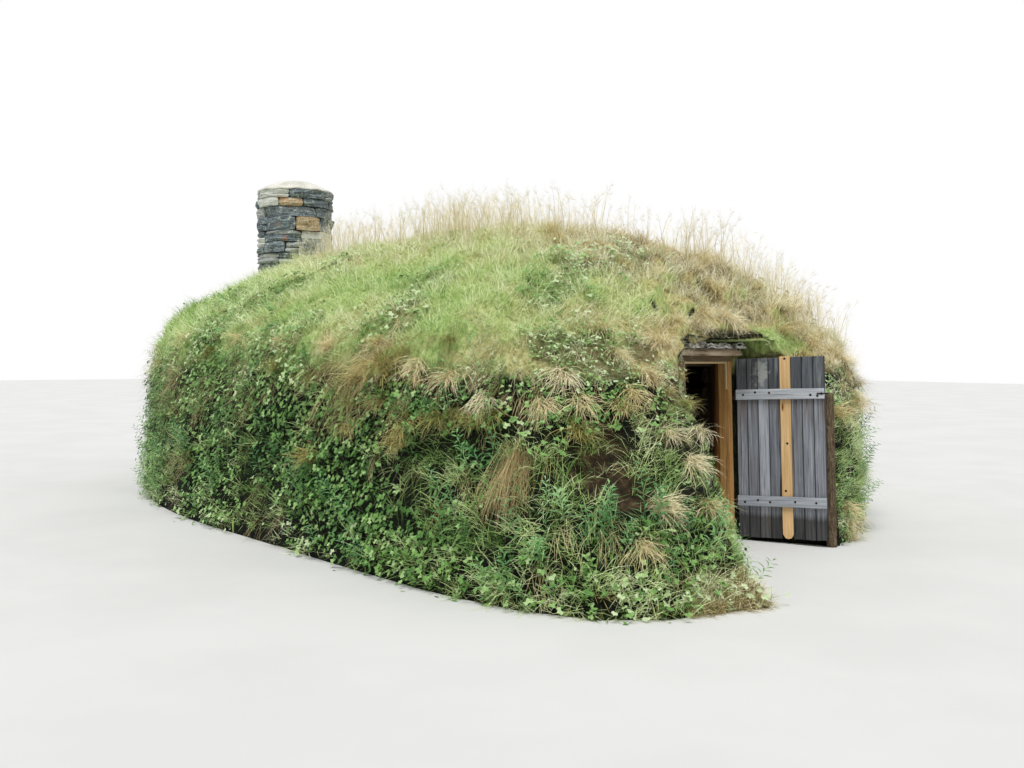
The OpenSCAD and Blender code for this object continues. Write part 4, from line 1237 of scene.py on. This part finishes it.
def nailTree(material):
    tree, inputs = nodeTree("nails", "Radius", "Proud")
    graph = Graph(tree)
    given = graph.add("NodeGroupInput")
    head = graph.add("GeometryNodeMeshUVSphere", None, {"Segments": 8, "Rings": 5, "Radius": 1.0}, "Mesh")
    named = {"data_type": "FLOAT_VECTOR"}
    toward = graph.add("GeometryNodeInputNamedAttribute", named, {"Name": "facing"}, "Attribute")
    turn = graph.add("FunctionNodeAlignRotationToVector", {"axis": "Z"}, {"Vector": toward})
    values = {"X": given.other("Radius"), "Y": given.other("Radius"), "Z": given.other("Proud")}
    size = graph.add("ShaderNodeCombineXYZ", None, values)
    values = {"Points": given, "Instance": head, "Rotation": turn, "Scale": size}
    placed = graph.add("GeometryNodeInstanceOnPoints", None, values)
    real = graph.add("GeometryNodeRealizeInstances", None, {"Geometry": placed})
    painted = graph.add("GeometryNodeSetMaterial", None, {"Geometry": real, "Material": material})
    graph.add("NodeGroupOutput", None, {"Geometry": painted})
    return tree, inputs


def ironShade(graph):
    place = graph.place()
    rust = graph.noise(place, 45, 5, 0.65)
    color = graph.ramp(rust, *colors(
        (0.4, (30, 28, 28)), (0.56, (56, 46, 40)), (0.68, (104, 70, 48)), (0.8, (140, 96, 64))))
    metal = graph.level(rust, 0.6, 0.35) * 0.7
    relief, rough = graph.bump(rust, 0.5, 0.0015), 0.55 + 0.35 * rust
    return {"Base Color": color, "Metallic": metal, "Roughness": rough, "Normal": relief}


ironFinish = makeMaterial("rustyIron", "iron", ironShade)


def nailsAt(name, spots, body):
    # each spot is a place in the leaf's frame, on the face that looks to the free side
    mesh = meshOf(name, [leafFrame @ Vector(spot) for spot in spots], [])
    facingWay = leafFrame.to_3x3() @ Vector((0, 1, 0))
    setNumbers(mesh, "facing", [tuple(facingWay)] * len(spots), "FLOAT_VECTOR")
    tree, inputs = nailTree(ironFinish)
    result = withNodes(mesh, tree, inputs, {"Radius": leaf["nailHead"], "Proud": leaf["nailProud"]})
    makePiece(name, result, ironFinish, body)


def alongBoard(box, across, wander):
    # nails along the middle of a ledge, a little up and down
    low, high = box
    middle = (low.z + high.z) / 2
    return [(u, high.y, middle + leaf["nailWander"] * math.sin(i * wander)) for i, u in enumerate(across)]


freshLow, freshHigh = freshBoxes[0]
newMiddle = (freshLow.x + freshHigh.x) / 2
spots = alongBoard(looseBoxes("upper_ledge", leafFrame)[0], leaf["upperNails"], 5)
spots += alongBoard(looseBoxes("lower_ledge", leafFrame)[0], leaf["lowerNails"], 3)
spots += [(newMiddle + 0.012 * math.sin(i * 4), freshHigh.y, up) for i, up in enumerate(leaf["newNails"])]
nailsAt("leaf_nails", spots, "leaf")
dress(("strap_hinges", "door_hook", "hinge_pintles"), ironFinish)
print("stage: door leaf")


# Doorway: sill, posts, head, stops, reveal boards, lintel log and its crumpled bark

carpentry = {
    "postEdge": 0.005,
    "postWear": 0.0025,
    "logGrain": 0.0075,
    "logRough": 0.0025,
    "barkSheets": 5,
    "barkAcross": 80,
    "barkDeep": 8,
    "barkThick": 0.005,
    "barkCrumple": 0.02,
    "barkCurl": 0.04,
    "barkTear": 0.016,
}

# the left post and the left reveal board take the dark frame wood as painted shade on the opening's shaded left side;
# the sill and the head take it too
for name, finish, axis, seed in (
    ("door_sill", "doorHead", "X", 51),
    ("door_post_left", "doorHead", "Z", 52),
    ("door_post_right", "jambs", "Z", 53),
    ("door_head", "doorHead", "X", 54),
    ("stop_battens", "stopStrips", "Z", 55),
    ("reveal_board_left", "doorHead", "Z", 56),
    ("reveal_board_right", "revealBoards", "Z", 57),
):
    frameWood = Timber()
    for i, (low, high) in enumerate(looseBoxes(name, doorFrame)):
        size = high - low
        run = axis if name != "stop_battens" or size.z > size.x else "X"
        edge = min(carpentry["postEdge"], min(size) / 4)
        wear = carpentry["postWear"] * min(1, min(size) / 0.05)
        frameWood.board(low, high, doorFrame, seed + 10 * i, axis=run, edge=edge, wear=wear)
    frameWood.piece(name + "_wood", woodFinish[finish], replaces=[name])


def logPiece(names, name, finish, axis, grain, depth, seed):
    # logs with a fissured surface; their grain runs along the axis
    mesh = softCopy(names, grain, depth, 0.05, seed, soften=1)
    spot = coordinates(mesh)
    setNumbers(mesh, "grain", spot[:, grainOrder[axis]], "FLOAT_VECTOR")
    setNumbers(mesh, "tint", np.clip(0.5 + 0.5 * noiseOn(spot, 0.15, seed + 1), 0, 1))
    return makePiece(name, mesh, finish, replaces=names)


logPiece(["lintel_logs"], "lintel_log", woodFinish["lintelLog"], "X", carpentry["logGrain"], carpentry["logRough"], 61)


def postShade(graph):
    place = graph.place()
    ridges = graph.noise(graph.scaled(place, 70, 70, 9), 1, 6, 0.7, 0.6)
    color = graph.ramp(ridges, *colors(
        (0.3, (46, 38, 28)), (0.5, (92, 78, 60)), (0.68, (140, 124, 100)), (0.8, (168, 156, 134))))
    lichen = graph.level(graph.noise(place, 30, 4), 0.6, 0.7) * 0.5
    color = graph.mix(lichen, color, paint(132, 138, 104))
    return {"Base Color": color, "Roughness": 0.9, "Specular IOR Level": 0.2, "Normal": graph.bump(ridges, 0.9, 0.008)}


stayMesh = softCopy(["stay_post"], 0.011, 0.0035, 0.03, 62, soften=2)
makePiece("stay_post_bark", stayMesh, makeMaterial("roughPost", "log_wood", postShade), replaces=["stay_post"])


def barkShade(graph):
    # white birch bark: grey clouds, dark bars across the stem and torn brown edges
    place = graph.place()
    cloud = graph.noise(place, 14, 5, 0.65)
    color = graph.ramp(cloud, *colors(
        (0.4, (30, 27, 25)), (0.46, (116, 110, 104)), (0.51, (238, 234, 228)), (0.68, (252, 250, 246))))
    bars = graph.level(graph.noise(graph.scaled(place, 28, 160, 160), 1, 3, 0.6), 0.6, 0.66)
    color = graph.mix(bars, color, paint(28, 24, 22))
    peel = graph.level(graph.noise(place, 38, 3), 0.62, 0.7) * 0.7
    color = graph.mix(peel, color, paint(168, 120, 84))
    return {"Base Color": color, "Roughness": 0.65, "Normal": graph.bump(cloud - 0.4 * bars, 0.5, 0.004)}


barkFinish = makeMaterial("birchBark", "birch_bark", barkShade)
barkLow, barkHigh = barkBox
across, deep = carpentry["barkAcross"], carpentry["barkDeep"]
barkPlaces, barkFaces = [], []
for sheet in range(carpentry["barkSheets"]):
    dice = random.Random(70 + sheet)
    first = len(barkPlaces)
    left, right = barkLow.x + dice.uniform(0, 0.06), barkHigh.x - dice.uniform(0, 0.08)
    front = barkLow.y + (0.0, 0.008, 0.004, 0.016, 0.01)[sheet]
    base = barkLow.z + 0.008 + sheet * (barkHigh.z - barkLow.z - 0.03) / carpentry["barkSheets"]
    for i in range(across + 1):
        for j in range(deep + 1):
            share, back = i / across, j / deep
            spot = Vector((share * 9, back * 1.2, sheet * 7.7))
            crumple = (noise.noise(spot) + 0.5 * noise.noise(spot * 3.1)) * carpentry["barkCrumple"]
            wide, small, torn = (noise.noise(Vector((share * s, sheet, own))) for s, own in ((6, 3), (19, 5), (22, 9)))
            curl = (1 - back) ** 3 * (wide + 0.5 * small) * carpentry["barkCurl"]
            edge = (1 - back) * torn * carpentry["barkTear"]
            high = min(max(base + crumple + curl, barkLow.z + 0.004), barkHigh.z + 0.01)
            depth = max(front + edge, barkLow.y) + back * (barkHigh.y - front)
            barkPlaces.append((left + (right - left) * share, depth, high))
    for i in range(across):
        for j in range(deep):
            a = first + i * (deep + 1) + j
            barkFaces.append((a, a + deep + 1, a + deep + 2, a + 1))
thick = ("SOLIDIFY", {"thickness": carpentry["barkThick"], "offset": 0})
barkMesh = withModifiers(meshOf("bark", barkPlaces, barkFaces), thick)
makePiece("door_bark_sheets", barkMesh, barkFinish, replaces=["door_bark"])
print("stage: doorway")


# Chimney: uneven slabs in rough courses round a dark core, under a domed mortar cap

chimney = {
    "lowCourse": 0.09,
    "highCourse": 0.19,
    "thinSlab": 0.035,
    "joint": 0.009,
    "shortStone": 0.24,  # length round the outside, m
    "longStone": 0.9,
    "deep": 0.19,
    "uneven": 0.045,
    "tanShare": 0.05,
    "mortarBand": 0.11,  # how far the cap reaches down over the stones
    "capDrop": 0.07,
    "capInset": 0.035,
    "coreInset": 0.14,
    "inset": 0.036,  # how far the stones' faces lie inside the CAD surface
    "overhang": 0.02,
    "rounding": 0.016,
    "edge": 0.0045,
    "flue": 0.18,
}
stackLow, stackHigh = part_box("chimney_stack")
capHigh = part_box("chimney_cap")[1]
axisX, axisY = (stackLow.x + stackHigh.x) / 2, (stackLow.y + stackHigh.y) / 2
outerRadius = (stackHigh.x - stackLow.x) / 2
flueRadius = chimney["flue"]


def slab(bm, layer, turnLow, turnHigh, low, high, reach, tint, dice):
    # one stone: a grid round its outside, pulled in at its edges, with a rough face
    wide, tall = 5, 3
    inner = reach - chimney["deep"]
    lean, tilt = dice.uniform(-0.02, 0.02), dice.uniform(-0.008, 0.008)
    shift = Vector((dice.uniform(0, 90), dice.uniform(0, 90), dice.uniform(0, 90)))
    rows = []
    for j in range(tall + 1):
        row = []
        for i in range(wide + 1):
            u, v = i / wide, j / tall
            side, edge = abs(2 * u - 1), abs(2 * v - 1)
            rough = noise.noise(Vector((u * 2.2, v * 1.6, 0)) + shift) * chimney["uneven"]
            radius = reach + rough - chimney["rounding"] * side**8 - 0.01 * edge**4 + lean * (u - 0.5)
            turn = turnLow + (turnHigh - turnLow) * (0.5 + (u - 0.5) * (1 - 0.05 * edge**3))
            up = low + (high - low) * (0.5 + (v - 0.5) * (1 - 0.06 * side**8)) + tilt * (u - 0.5) + rough * 0.15
            vert = bm.verts.new((axisX + radius * math.cos(turn), axisY + radius * math.sin(turn), up))
            vert[layer] = tint
            row.append(vert)
        rows.append(row)
    backs = []
    for up in (low, high):
        row = []
        for i in range(wide + 1):
            turn = turnLow + (turnHigh - turnLow) * i / wide
            vert = bm.verts.new((axisX + inner * math.cos(turn), axisY + inner * math.sin(turn), up))
            vert[layer] = tint
            row.append(vert)
        backs.append(row)
    for j in range(tall):
        for i in range(wide):
            bm.faces.new((rows[j][i], rows[j][i + 1], rows[j + 1][i + 1], rows[j + 1][i]))
    for i in range(wide):
        bm.faces.new((rows[tall][i], rows[tall][i + 1], backs[1][i + 1], backs[1][i]))
        bm.faces.new((rows[0][i + 1], rows[0][i], backs[0][i], backs[0][i + 1]))
        bm.faces.new((backs[0][i + 1], backs[0][i], backs[1][i], backs[1][i + 1]))
    for i, back in ((0, 0), (wide, wide)):
        side = [row[i] for row in rows]
        ring = [backs[0][back]] + side + [backs[1][back]] if i else [backs[1][back]] + side[::-1] + [backs[0][back]]
        bm.faces.new(ring)


dice = random.Random(3)
bm = bmesh.new()
layer = bm.verts.layers.float.new("tint")
course, wallTop = stackLow.z, stackHigh.z - chimney["mortarBand"]
while course < wallTop - 0.02:
    tall = min(dice.uniform(chimney["lowCourse"], chimney["highCourse"]), wallTop - course)
    if wallTop - course - tall < chimney["lowCourse"]:
        tall = wallTop - course
    reach = outerRadius - chimney["inset"] + dice.uniform(-0.012, 0.006)
    turn, full = dice.uniform(0, 1), 0.0
    while full < 2 * math.pi:
        span = dice.uniform(chimney["shortStone"], chimney["longStone"]) / outerRadius
        if 2 * math.pi - full - span < chimney["shortStone"] / outerRadius:
            span = 2 * math.pi - full
        # some stones of a course are two or three thin slabs
        layers = max(1, min(dice.choice((1, 1, 1, 2, 2)), int(tall / chimney["thinSlab"])))
        low = course
        for i in range(layers):
            high = course + tall if i == layers - 1 else low + tall / layers * dice.uniform(0.75, 1.2)
            tint = dice.uniform(0.84, 1.0) if dice.random() < chimney["tanShare"] else dice.uniform(0.0, 0.8)
            half = chimney["joint"] / 2
            start = turn + full + (half + dice.uniform(0, 0.03) * i) / outerRadius
            end = turn + full + span - half / outerRadius
            face = reach + dice.uniform(-0.02, 0.02)
            slab(bm, layer, start, end, low + half * 0.6, high - half * 0.6, face, tint, dice)
            low = high
        full += span
    course += tall
sharp = [e for e in bm.edges if e.calc_face_angle(0) > 0.9]
bmesh.ops.bevel(bm, geom=sharp, offset=chimney["edge"], segments=1, affect="EDGES")
stoneMesh = bpy.data.meshes.new("stones")
bm.to_mesh(stoneMesh)
bm.free()
spot = coordinates(stoneMesh)
away = np.hypot(spot[:, 0] - axisX, spot[:, 1] - axisY)
limit = outerRadius + chimney["overhang"]
spot[:, :2] = (spot[:, :2] - (axisX, axisY)) * np.minimum(1, limit / away)[:, None] + (axisX, axisY)
setCoordinates(stoneMesh, spot)


def slateShade(graph):
    # the tint runs from dark blue slabs through pale ones to tan
    place, tint = graph.place(), graph.attribute("tint")
    layers = graph.noise(graph.scaled(place, 7, 7, 85), 1, 6, 0.7)
    spots = graph.noise(place, 38, 5, 0.7)
    grain = 0.6 * layers + 0.4 * spots
    dark = graph.ramp(grain, *colors((0.36, (42, 50, 56)), (0.5, (100, 112, 118)), (0.64, (176, 188, 188))))
    light = graph.ramp(grain, *colors((0.36, (142, 148, 142)), (0.5, (212, 216, 206)), (0.64, (242, 244, 234))))
    warm = graph.ramp(grain, *colors((0.36, (112, 92, 66)), (0.5, (190, 166, 130)), (0.64, (232, 218, 190))))
    color = graph.mix(graph.level(tint, 0.3, 0.66), dark, light)
    color = graph.mix(graph.level(tint, 0.8, 0.86), color, warm)
    rust = graph.level(graph.noise(place, 5, 4), 0.64, 0.72) * 0.6
    color = graph.mix(rust, color, paint(186, 118, 62))
    lichen = graph.level(graph.noise(place, 24, 5, 0.6), 0.58, 0.64) * 0.7
    color = graph.mix(lichen, color, paint(206, 212, 198))
    height = 0.7 * layers + 0.5 * spots
    return {"Base Color": color, "Roughness": 0.8, "Specular IOR Level": 0.3, "Normal": graph.bump(height, 0.9, 0.012)}


slateFinish = makeMaterial("slate", "slate", slateShade)
makePiece("chimney_stones", stoneMesh, slateFinish, replaces=["chimney_stack"])


def mortarShade(graph):
    place = graph.place()
    sand = graph.noise(place, 60, 6, 0.75)
    stain = graph.noise(place, 5, 4)
    stops = colors((0.35, (186, 184, 172)), (0.5, (232, 230, 218)), (0.68, (252, 250, 242)))
    color = graph.ramp(0.5 * sand + 0.5 * stain, *stops)
    moss = graph.level(graph.noise(place, 11, 4), 0.64, 0.72) * 0.4
    color = graph.mix(moss, color, paint(120, 124, 92))
    return {"Base Color": color, "Roughness": 0.92, "Specular IOR Level": 0.2, "Normal": graph.bump(sand, 0.8, 0.006)}


def darkMortar(graph):
    sand = graph.noise(graph.place(), 70, 5, 0.7)
    color = graph.ramp(sand, *colors((0.35, (34, 34, 34)), (0.65, (84, 82, 78))))
    return {"Base Color": color, "Roughness": 0.95, "Normal": graph.bump(sand, 0.6, 0.004)}


def turned(name, rings, around, spotAt):
    # a closed body round the flue, from rings that are each given as a radius and a height
    places, faces = [], []
    for k, (radius, high) in enumerate(rings):
        here, there = k * around, (k + 1) % len(rings) * around
        for i in range(around):
            beyond = (i + 1) % around
            places.append(spotAt(k, i, i * 2 * math.pi / around, radius, high))
            faces.append((here + i, here + beyond, there + beyond, there + i))
    return meshOf(name, places, faces)


# the domed cap, which reaches down over the stones
capBase = stackHigh.z - chimney["mortarBand"]
capTop = capHigh.z - chimney["capDrop"]
rise = capTop - capBase
capEdge = outerRadius - chimney["capInset"]
capRings = [(flueRadius, capBase), (outerRadius - 0.05, capBase), (capEdge, capBase + 0.06 * rise)]
for k in range(1, 9):
    capRings.append((capEdge - (outerRadius - 0.26) * k / 8, capBase + rise * (0.06 + 0.94 * (k / 8) ** 0.8)))
capRings.append((flueRadius, capTop - 0.02))


def onCap(k, i, turn, radius, high):
    spot = Vector((math.cos(turn) * radius, math.sin(turn) * radius, high))
    lump = noise.noise(spot * 7) * 0.014 + noise.noise(spot * 22) * 0.006 if 0 < k < len(capRings) - 1 else 0
    return axisX + spot.x * (1 + lump), axisY + spot.y * (1 + lump), min(high + lump, capTop)


mortarFinish = makeMaterial("mortar", "mortar", mortarShade)
makePiece("chimney_mortar_cap", turned("cap", capRings, 72, onCap), mortarFinish, replaces=["chimney_cap"])

# the core behind the stones, so that no joint shows through
coreRadius, coreTop = outerRadius - chimney["coreInset"], capBase + 0.01
coreRings = [(flueRadius, stackLow.z), (coreRadius, stackLow.z), (coreRadius, coreTop), (flueRadius, coreTop)]


def onCore(k, i, turn, radius, high):
    radius += 0.008 * math.sin(i * 7 + k)
    return axisX + radius * math.cos(turn), axisY + radius * math.sin(turn), high


makePiece("chimney_core", turned("core", coreRings, 48, onCore), makeMaterial("darkMortar", "mortar", darkMortar))


def rubbleShade(graph):
    # rough masonry of the hearth and the shaft: stones in mortar, from cells
    place = graph.place()
    cells = graph.scaled(place, 5, 5, 11)
    values = {"Vector": cells, "Scale": 1}
    joint = graph.add("ShaderNodeTexVoronoi", {"feature": "DISTANCE_TO_EDGE"}, values, "Distance")
    stone = graph.cells(cells, 1, "Color")
    grain = graph.noise(place, 30, 6, 0.7)
    color = graph.ramp(grain, *colors((0.35, (50, 52, 54)), (0.5, (92, 96, 98)), (0.7, (146, 148, 144))))
    color = color * graph.mix(0.5, (0.9, 0.9, 0.9, 1), stone)
    wide = graph.level(joint, 0.03, 0.08)
    color = graph.mix(wide, paint(60, 56, 50), color)
    # soot on the hearth and the shaft in dark patches
    dimming = graph.level(graph.noise(place, 2.5, 3), 0.45, 0.65) * 0.5
    color = graph.mix(dimming, color, paint(24, 22, 20))
    return {"Base Color": color, "Roughness": 0.9, "Normal": graph.bump(wide + 0.4 * grain, 0.8, 0.015)}


rubbleFinish = makeMaterial("rubble", "slate", rubbleShade)
print("stage: chimney")


# Inside: logs, posts, rafters, poles and the bark under the turf keep their CAD form

def roundLog(axis, dimming=1.0):
    scale = {"X": (2.2, 26, 26), "Y": (26, 2.2, 26), "Z": (26, 26, 2.2)}[axis]

    def shade(graph):
        place = graph.place()
        fibre = graph.noise(graph.scaled(place, *scale), 1, 6, 0.65, 0.3)
        split = graph.level(graph.noise(graph.scaled(place, *[s * 1.6 for s in scale]), 0.8, 3), 0.64, 0.68)
        color = graph.ramp(fibre, *colors((0.3, (48, 38, 28)), (0.5, (94, 76, 56)), (0.68, (136, 114, 88))))
        knot = graph.cells(graph.scaled(place, *[s * 0.16 for s in scale]), 1)
        color = graph.mix(1 - graph.level(knot, 0.06, 0.13), color, paint(38, 28, 20))
        # the dimming factor scales the whole colour down; for the front wall's logs it is painted shade
        color = graph.mix(split * 0.8, color, paint(20, 16, 12)) * (dimming, dimming, dimming)
        relief = graph.bump(fibre - split, 0.7, 0.006)
        return {"Base Color": color, "Roughness": 0.82, "Specular IOR Level": 0.2, "Normal": relief}
    return shade


logsAlongX = makeMaterial("logsAlongX", "log_wood", roundLog("X"))
logsAlongY = makeMaterial("logsAlongY", "log_wood", roundLog("Y"))
# the front wall's logs, seen in the doorway, are darkened to a quarter: painted shade
shadedFrontLogs = makeMaterial("shadedFrontLogs", "log_wood", roundLog("X", 0.25))
logsUpright = makeMaterial("logsUpright", "log_wood", roundLog("Z"))
inside = {
    logsAlongY: ("left_wall_logs", "right_wall_logs", "ridge_log", "purlins", "hip_rafters", "roof_poles_front"),
    logsAlongX: (
        "back_wall_logs_left", "back_wall_logs_right", "back_gable_logs", "roof_poles_left", "roof_poles_right"),
    shadedFrontLogs: ("front_wall_logs_left", "front_wall_logs_right", "front_plate"),
    logsUpright: ("ridge_posts",),
    barkFinish: ("roof_bark_left", "roof_bark_right", "roof_bark_front"),
    rubbleFinish: ("hearth", "chimney_shaft"),
}
for finish, names in inside.items():
    dress(names, finish)
print("stage: inside")


# Stage: a plain pale floor, soft light and the camera

def stageShade(graph):
    grey = graph.ramp(graph.noise(graph.place(), 0.7), *colors((0.4, (226, 226, 224)), (0.6, (230, 230, 228))))
    return {"Base Color": grey, "Roughness": 0.9, "Specular IOR Level": 0.1}


floorMesh = meshOf("floor", [(-60, -60, 0), (60, -60, 0), (60, 60, 0), (-60, 60, 0)], [(0, 1, 2, 3)])
floor = inScene("floor", floorMesh)
floorMesh.materials.append(makeMaterial("floor", "floor", stageShade))

light = {"sky": 0.52, "sun": 2.0, "sunSize": 30, "sunTilt": 26, "sunTurn": -50}

world = bpy.data.worlds.new("studio")
world.use_nodes = True
world.node_tree.nodes.clear()
graph = Graph(world.node_tree)
rays = graph.add("ShaderNodeLightPath", None, None, "Is Camera Ray")
seen = graph.add("ShaderNodeMath", {"operation": "MAXIMUM"}, {0: rays, 1: rays.other("Is Glossy Ray")})
seen = graph.add("ShaderNodeMath", {"operation": "MAXIMUM"}, {0: seen, 1: rays.other("Is Transmission Ray")})
soft = graph.add("ShaderNodeBackground", None, {"Color": (1, 1, 1, 1), "Strength": light["sky"]})
white = graph.add("ShaderNodeBackground", None, {"Color": (1, 1, 1, 1), "Strength": 1.0})
both = graph.add("ShaderNodeMixShader", None, {0: seen, 1: soft, 2: white})
graph.add("ShaderNodeOutputWorld", None, {"Surface": both})
bpy.context.scene.world = world

sun = bpy.data.lights.new("sun", "SUN")
sun.energy = light["sun"]
sun.angle = math.radians(light["sunSize"])
lamp = inScene("sun", sun)
lamp.rotation_euler = (math.radians(light["sunTilt"]), 0, math.radians(light["sunTurn"]))

lens = bpy.data.cameras.new("camera")
lens.lens = view["lens"]
lens.sensor_width = view["sensor"]
lens.clip_end = 200
eye = inScene("camera", lens)
right, up, ahead = viewAxes()
eye.matrix_world = Matrix.Translation(view["place"]) @ Matrix((right, up, -ahead)).transposed().to_4x4()
bpy.context.scene.camera = eye
bpy.context.scene.view_settings.view_transform = "Standard"

added = [obj for obj in bpy.data.objects if obj.type == "MESH" and obj not in nodes.values()]
triangles = sum(len(p.vertices) - 2 for obj in added for p in obj.data.polygons)
print("stage: all pieces,", triangles, "triangles")
print("stage: camera, light and floor")
